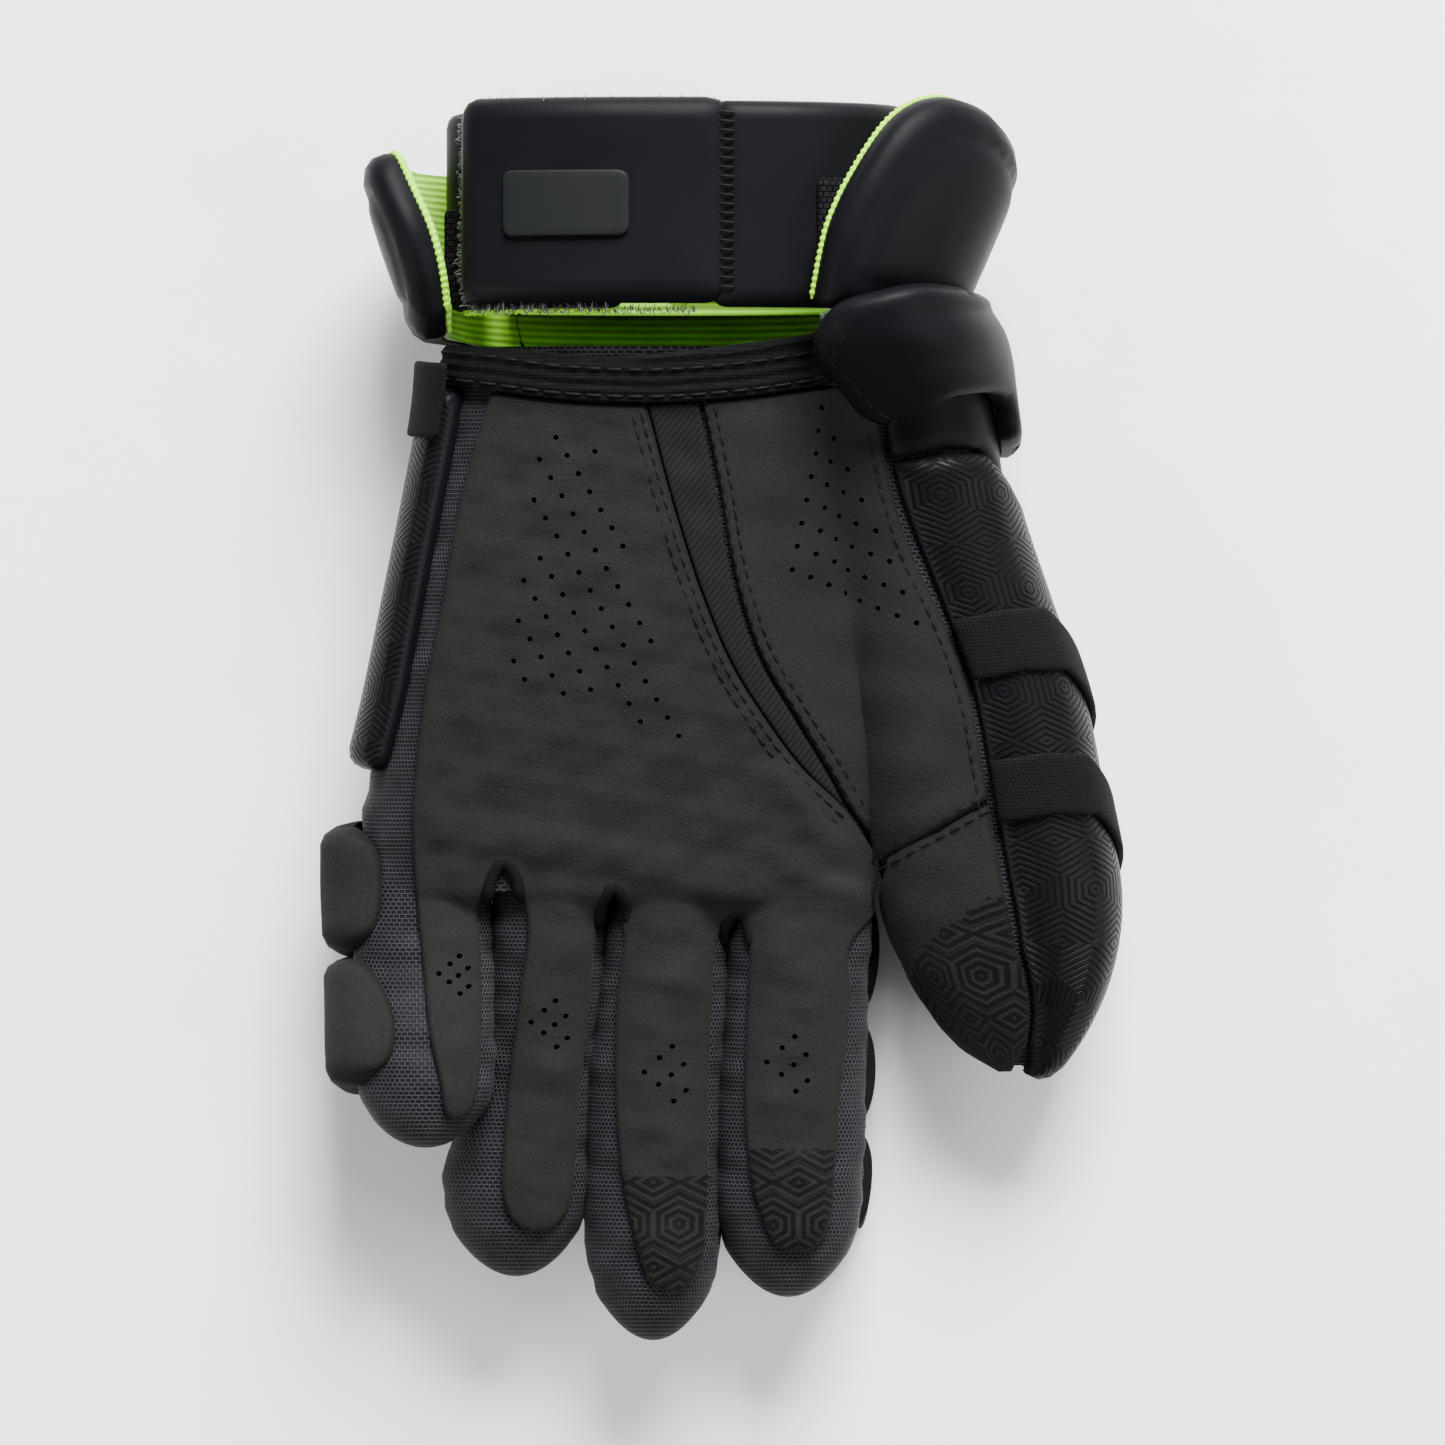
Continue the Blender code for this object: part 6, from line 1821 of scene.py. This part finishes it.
def palm_sewing():
    over = SEAT + SUEDE
    rows = []
    left = curved(palm_points(STRIP_LEFT_EDGE), 1.5)
    right = curved(palm_points(STRIP_RIGHT_EDGE), 1.5)
    for away in (1.7, 4.0):
        rows.append((on_palm_place, beside(left, -away), over))
        rows.append((on_palm_place, beside(right, away), over))
    seam = [thumb_seam_point(y, 3.0) for y in np.linspace(22, 122, 60)]
    rows.append((on_palm_place, beside(seam, -2.6), over))
    crease = palm_points([CREASE_END, THUMB_SEAM_START])
    crease.append(thumb_seam_point(0.165 * HAND_LENGTH, 3.0))
    crease = curved(crease, 1.5)
    rows.append((on_palm_place, beside(crease, -1.8), over))
    rows.append((on_palm_place, beside(crease, 2.0), over))
    stitches("palm_thread", rows, THREAD_FINISH, length=size("stitch"), gap=0.8,
             radius=size("thread") / 2, rise=0.1)
    binding = curved(palm_points(BINDING_LOWER), 1.5)
    rows = [(on_palm_place, beside(binding, -away), 1.6 * SEAT + BINDING) for away in (1.9, 9.0)]
    stitches("binding_thread", rows, THREAD_FINISH, length=4.2, gap=1.0, radius=0.34, rise=0.1)


def finger_welts():
    """Rolled hems of mesh along both sides of the leather on the fingers."""
    names = list(LANES)
    for name in names:
        path = curved(strip_outline(name), 1.2)
        welt(f"{name}_strip_hem", on_palm_place, beside(path, -1.5), 0.8, 1.25, WEB_FINISH,
             flatten=0.8)
    edge = curved(palm_points(PALM_LEFT_EDGE), 1.2)
    welt("palm_edge_hem", on_palm_place, beside(edge, -1.4), 0.9, 1.3, WEB_FINISH, flatten=0.8)
    for number, name in enumerate(names[:3]):
        x, y = slit_head(number, name)
        hood = [(x - 4.6, y - 9), (x - 3.2, y - 2), (x, y + 1.6), (x + 3.2, y - 2), (x + 4.6, y - 9)]
        welt(f"{name}_slit_hem", on_palm_place, curved(hood, 0.8), 1.2, 1.8, WEB_FINISH,
             flatten=0.8)


def cuff_edges():
    """The overlocked edge of the lining, which shows as a lime line round the cuff's wings."""
    for name, shares in (("wing_thumb", WING_THUMB), ("wing_pinky", WING_PINKY)):
        outline = cuff_outlines()[name]
        ys = [y for _, y in outline]
        scale = round_plane(CUFF, (min(ys) + max(ys)) / 2)
        path = [(a * scale, y) for a, y in curved(cuff_points(shares), 2.0)]
        place = placer(CUFF, scale)
        welt(f"{name}_overlock", place, beside(path, 0.1), -CUFF_WALL - 0.4, 0.85, LIME_FINISH,
             wave=0.25, pitch=1.8, step=0.45, sides=8)
    low, high = wrap_range()
    scale = round_plane(WRAP, (low + high) / 2)
    place = placer(WRAP, scale)
    flap = -LAYER_GAP - LOOP_PILE - LAYER_GAP - WRAP_FLAP
    path = [(170 * scale, low - 0.3), (100 * scale, low - 0.3)]
    welt("wrap_left_overlock", place, path, flap, 1.0, LIME_FINISH, wave=0.25, pitch=1.8,
         step=0.45)


def stage():
    settings = bpy.context.scene.stage_settings
    mesh = bpy.data.meshes.new("floor")
    wide = 3.0
    mesh.from_pydata([(-wide, -wide, 0), (wide, -wide, 0), (wide, wide, 0), (-wide, wide, 0)], [],
                     [(0, 1, 2, 3)])
    floor = bpy.data.objects.new("floor", mesh)
    bpy.context.scene.collection.objects.link(floor)

    def paper(tree, out):
        grain = put(tree, "ShaderNodeTexNoise", {"Scale": 260.0, "Detail": 3})
        tone = put(tree, "ShaderNodeMix", {0: grain.outputs[0], 6: (0.84, 0.84, 0.84, 1),
                   7: (0.9, 0.9, 0.9, 1)}, data_type="RGBA").outputs[2]
        feed(tree, out, {"Base Color": tone, "Roughness": 0.85})

    mesh.materials.append(surface("studio_paper_matt", paper))
    lights = [
        ("key", (0.4, 2.0, 1.6), 1.3, settings.key), ("fill", (1.9, -0.5, 1.4), 1.5, settings.fill),
        ("low", (-1.7, -1.2, 1.4), 1.4, settings.fill),
    ]
    for name, place, width, power in lights:
        lamp = bpy.data.lights.new(name, "AREA")
        lamp.shape = "SQUARE"
        lamp.size = width
        lamp.energy = power
        made = bpy.data.objects.new(name, lamp)
        made.location = place
        made.rotation_euler = (-Vector(place)).to_track_quat("-Z", "Y").to_euler()
        bpy.context.scene.collection.objects.link(made)
    world = bpy.data.worlds.new("studio")
    world.use_nodes = True
    world.node_tree.nodes["Background"].inputs[0].default_value = (1, 1, 1, 1)
    world.node_tree.nodes["Background"].inputs[1].default_value = 0.27
    bpy.context.scene.world = world
    camera = bpy.data.cameras.new("camera")
    camera.sensor_width = 36
    camera.lens = 36 * (settings.distance - 0.045) / settings.frame_width
    seen = bpy.data.objects.new("camera", camera)
    seen.location = (0, 0, settings.distance)
    bpy.context.scene.collection.objects.link(seen)
    bpy.context.scene.camera = seen


class GLOVE_OT_shells(bpy.types.Operator):
    """Makes the hand, finger and thumb shells of mesh"""

    bl_idname = "glove.shells"
    bl_label = "Knitted shells"

    def execute(self, context):
        shells()
        return {"FINISHED"}


class GLOVE_OT_palm(bpy.types.Operator):
    """Makes the suede of the palm and fingers and the binding"""

    bl_idname = "glove.palm"
    bl_label = "Palm leather"

    def execute(self, context):
        palm_pieces()
        binding_piece()
        return {"FINISHED"}


class GLOVE_OT_thumb_leather(bpy.types.Operator):
    """Makes the thumb's own suede"""

    bl_idname = "glove.thumb_leather"
    bl_label = "Thumb leather"

    def execute(self, context):
        thumb_leather_piece()
        return {"FINISHED"}


class GLOVE_OT_thumb_padding(bpy.types.Operator):
    """Makes the sleeve, pads, cap and bands of the thumb"""

    bl_idname = "glove.thumb_padding"
    bl_label = "Thumb padding"

    def execute(self, context):
        thumb_padding()
        return {"FINISHED"}


class GLOVE_OT_back_padding(bpy.types.Operator):
    """Makes the rolls behind the hand and the edge pad"""

    bl_idname = "glove.back_padding"
    bl_label = "Back padding"

    def execute(self, context):
        back_padding()
        return {"FINISHED"}


class GLOVE_OT_finger_padding(bpy.types.Operator):
    """Makes the rolls behind the fingers"""

    bl_idname = "glove.finger_padding"
    bl_label = "Finger padding"

    def execute(self, context):
        finger_padding()
        return {"FINISHED"}


class GLOVE_OT_cuff(bpy.types.Operator):
    """Makes the cuff's panels, linings and overlocked edges"""

    bl_idname = "glove.cuff"
    bl_label = "Cuff"

    def execute(self, context):
        cuff_panels()
        cuff_edges()
        return {"FINISHED"}


class GLOVE_OT_wrap(bpy.types.Operator):
    """Makes the wrist wrap, its tab and its elastics"""

    bl_idname = "glove.wrap"
    bl_label = "Wrist wrap"

    def execute(self, context):
        wrist_wrap()
        wrist_tab()
        elastics()
        return {"FINISHED"}


class GLOVE_OT_strap(bpy.types.Operator):
    """Makes the strap over the thumb"""

    bl_idname = "glove.strap"
    bl_label = "Thumb strap"

    def execute(self, context):
        thumb_strap()
        return {"FINISHED"}


class GLOVE_OT_sewing(bpy.types.Operator):
    """Makes the stitches and the rolled hems"""

    bl_idname = "glove.sewing"
    bl_label = "Sewing"

    def execute(self, context):
        palm_sewing()
        finger_welts()
        return {"FINISHED"}


class GLOVE_OT_stage(bpy.types.Operator):
    """Makes the floor, the lights and the camera"""

    bl_idname = "glove.stage"
    bl_label = "Stage"

    def execute(self, context):
        stage()
        return {"FINISHED"}


OPERATORS = [
    GLOVE_OT_shells, GLOVE_OT_palm, GLOVE_OT_thumb_leather, GLOVE_OT_thumb_padding,
    GLOVE_OT_back_padding, GLOVE_OT_finger_padding, GLOVE_OT_cuff, GLOVE_OT_wrap,
    GLOVE_OT_strap, GLOVE_OT_sewing, GLOVE_OT_stage,
]


class GLOVE_PT_dresser(bpy.types.Panel):
    """Lists the glove's steps and settings"""

    bl_label = "Glove"
    bl_space_type = "VIEW_3D"
    bl_region_type = "UI"
    bl_category = "Glove"

    def draw(self, context):
        for operator in OPERATORS:
            self.layout.operator(operator.bl_idname)
        for settings in ("glove_sizes", "glove_colours", "stage_settings"):
            box = self.layout.box()
            group = getattr(context.scene, settings)
            for name in group.__annotations__:
                box.prop(group, name)


CLASSES = [GloveColours, GloveSizes, StageSettings, *OPERATORS, GLOVE_PT_dresser]


def register():
    for kind in CLASSES:
        bpy.utils.register_class(kind)
    bpy.types.Scene.glove_colours = bpy.props.PointerProperty(type=GloveColours)
    bpy.types.Scene.glove_sizes = bpy.props.PointerProperty(type=GloveSizes)
    bpy.types.Scene.stage_settings = bpy.props.PointerProperty(type=StageSettings)


def unregister():
    del bpy.types.Scene.stage_settings
    del bpy.types.Scene.glove_sizes
    del bpy.types.Scene.glove_colours
    for kind in reversed(CLASSES):
        bpy.utils.unregister_class(kind)


def main():
    register()
    for operator in OPERATORS:
        name = operator.bl_idname.split(".")[1]
        if getattr(bpy.ops.glove, name)() != {"FINISHED"}:
            raise RuntimeError("the step " + name + " didn't finish")


if __name__ == "__main__":
    main()
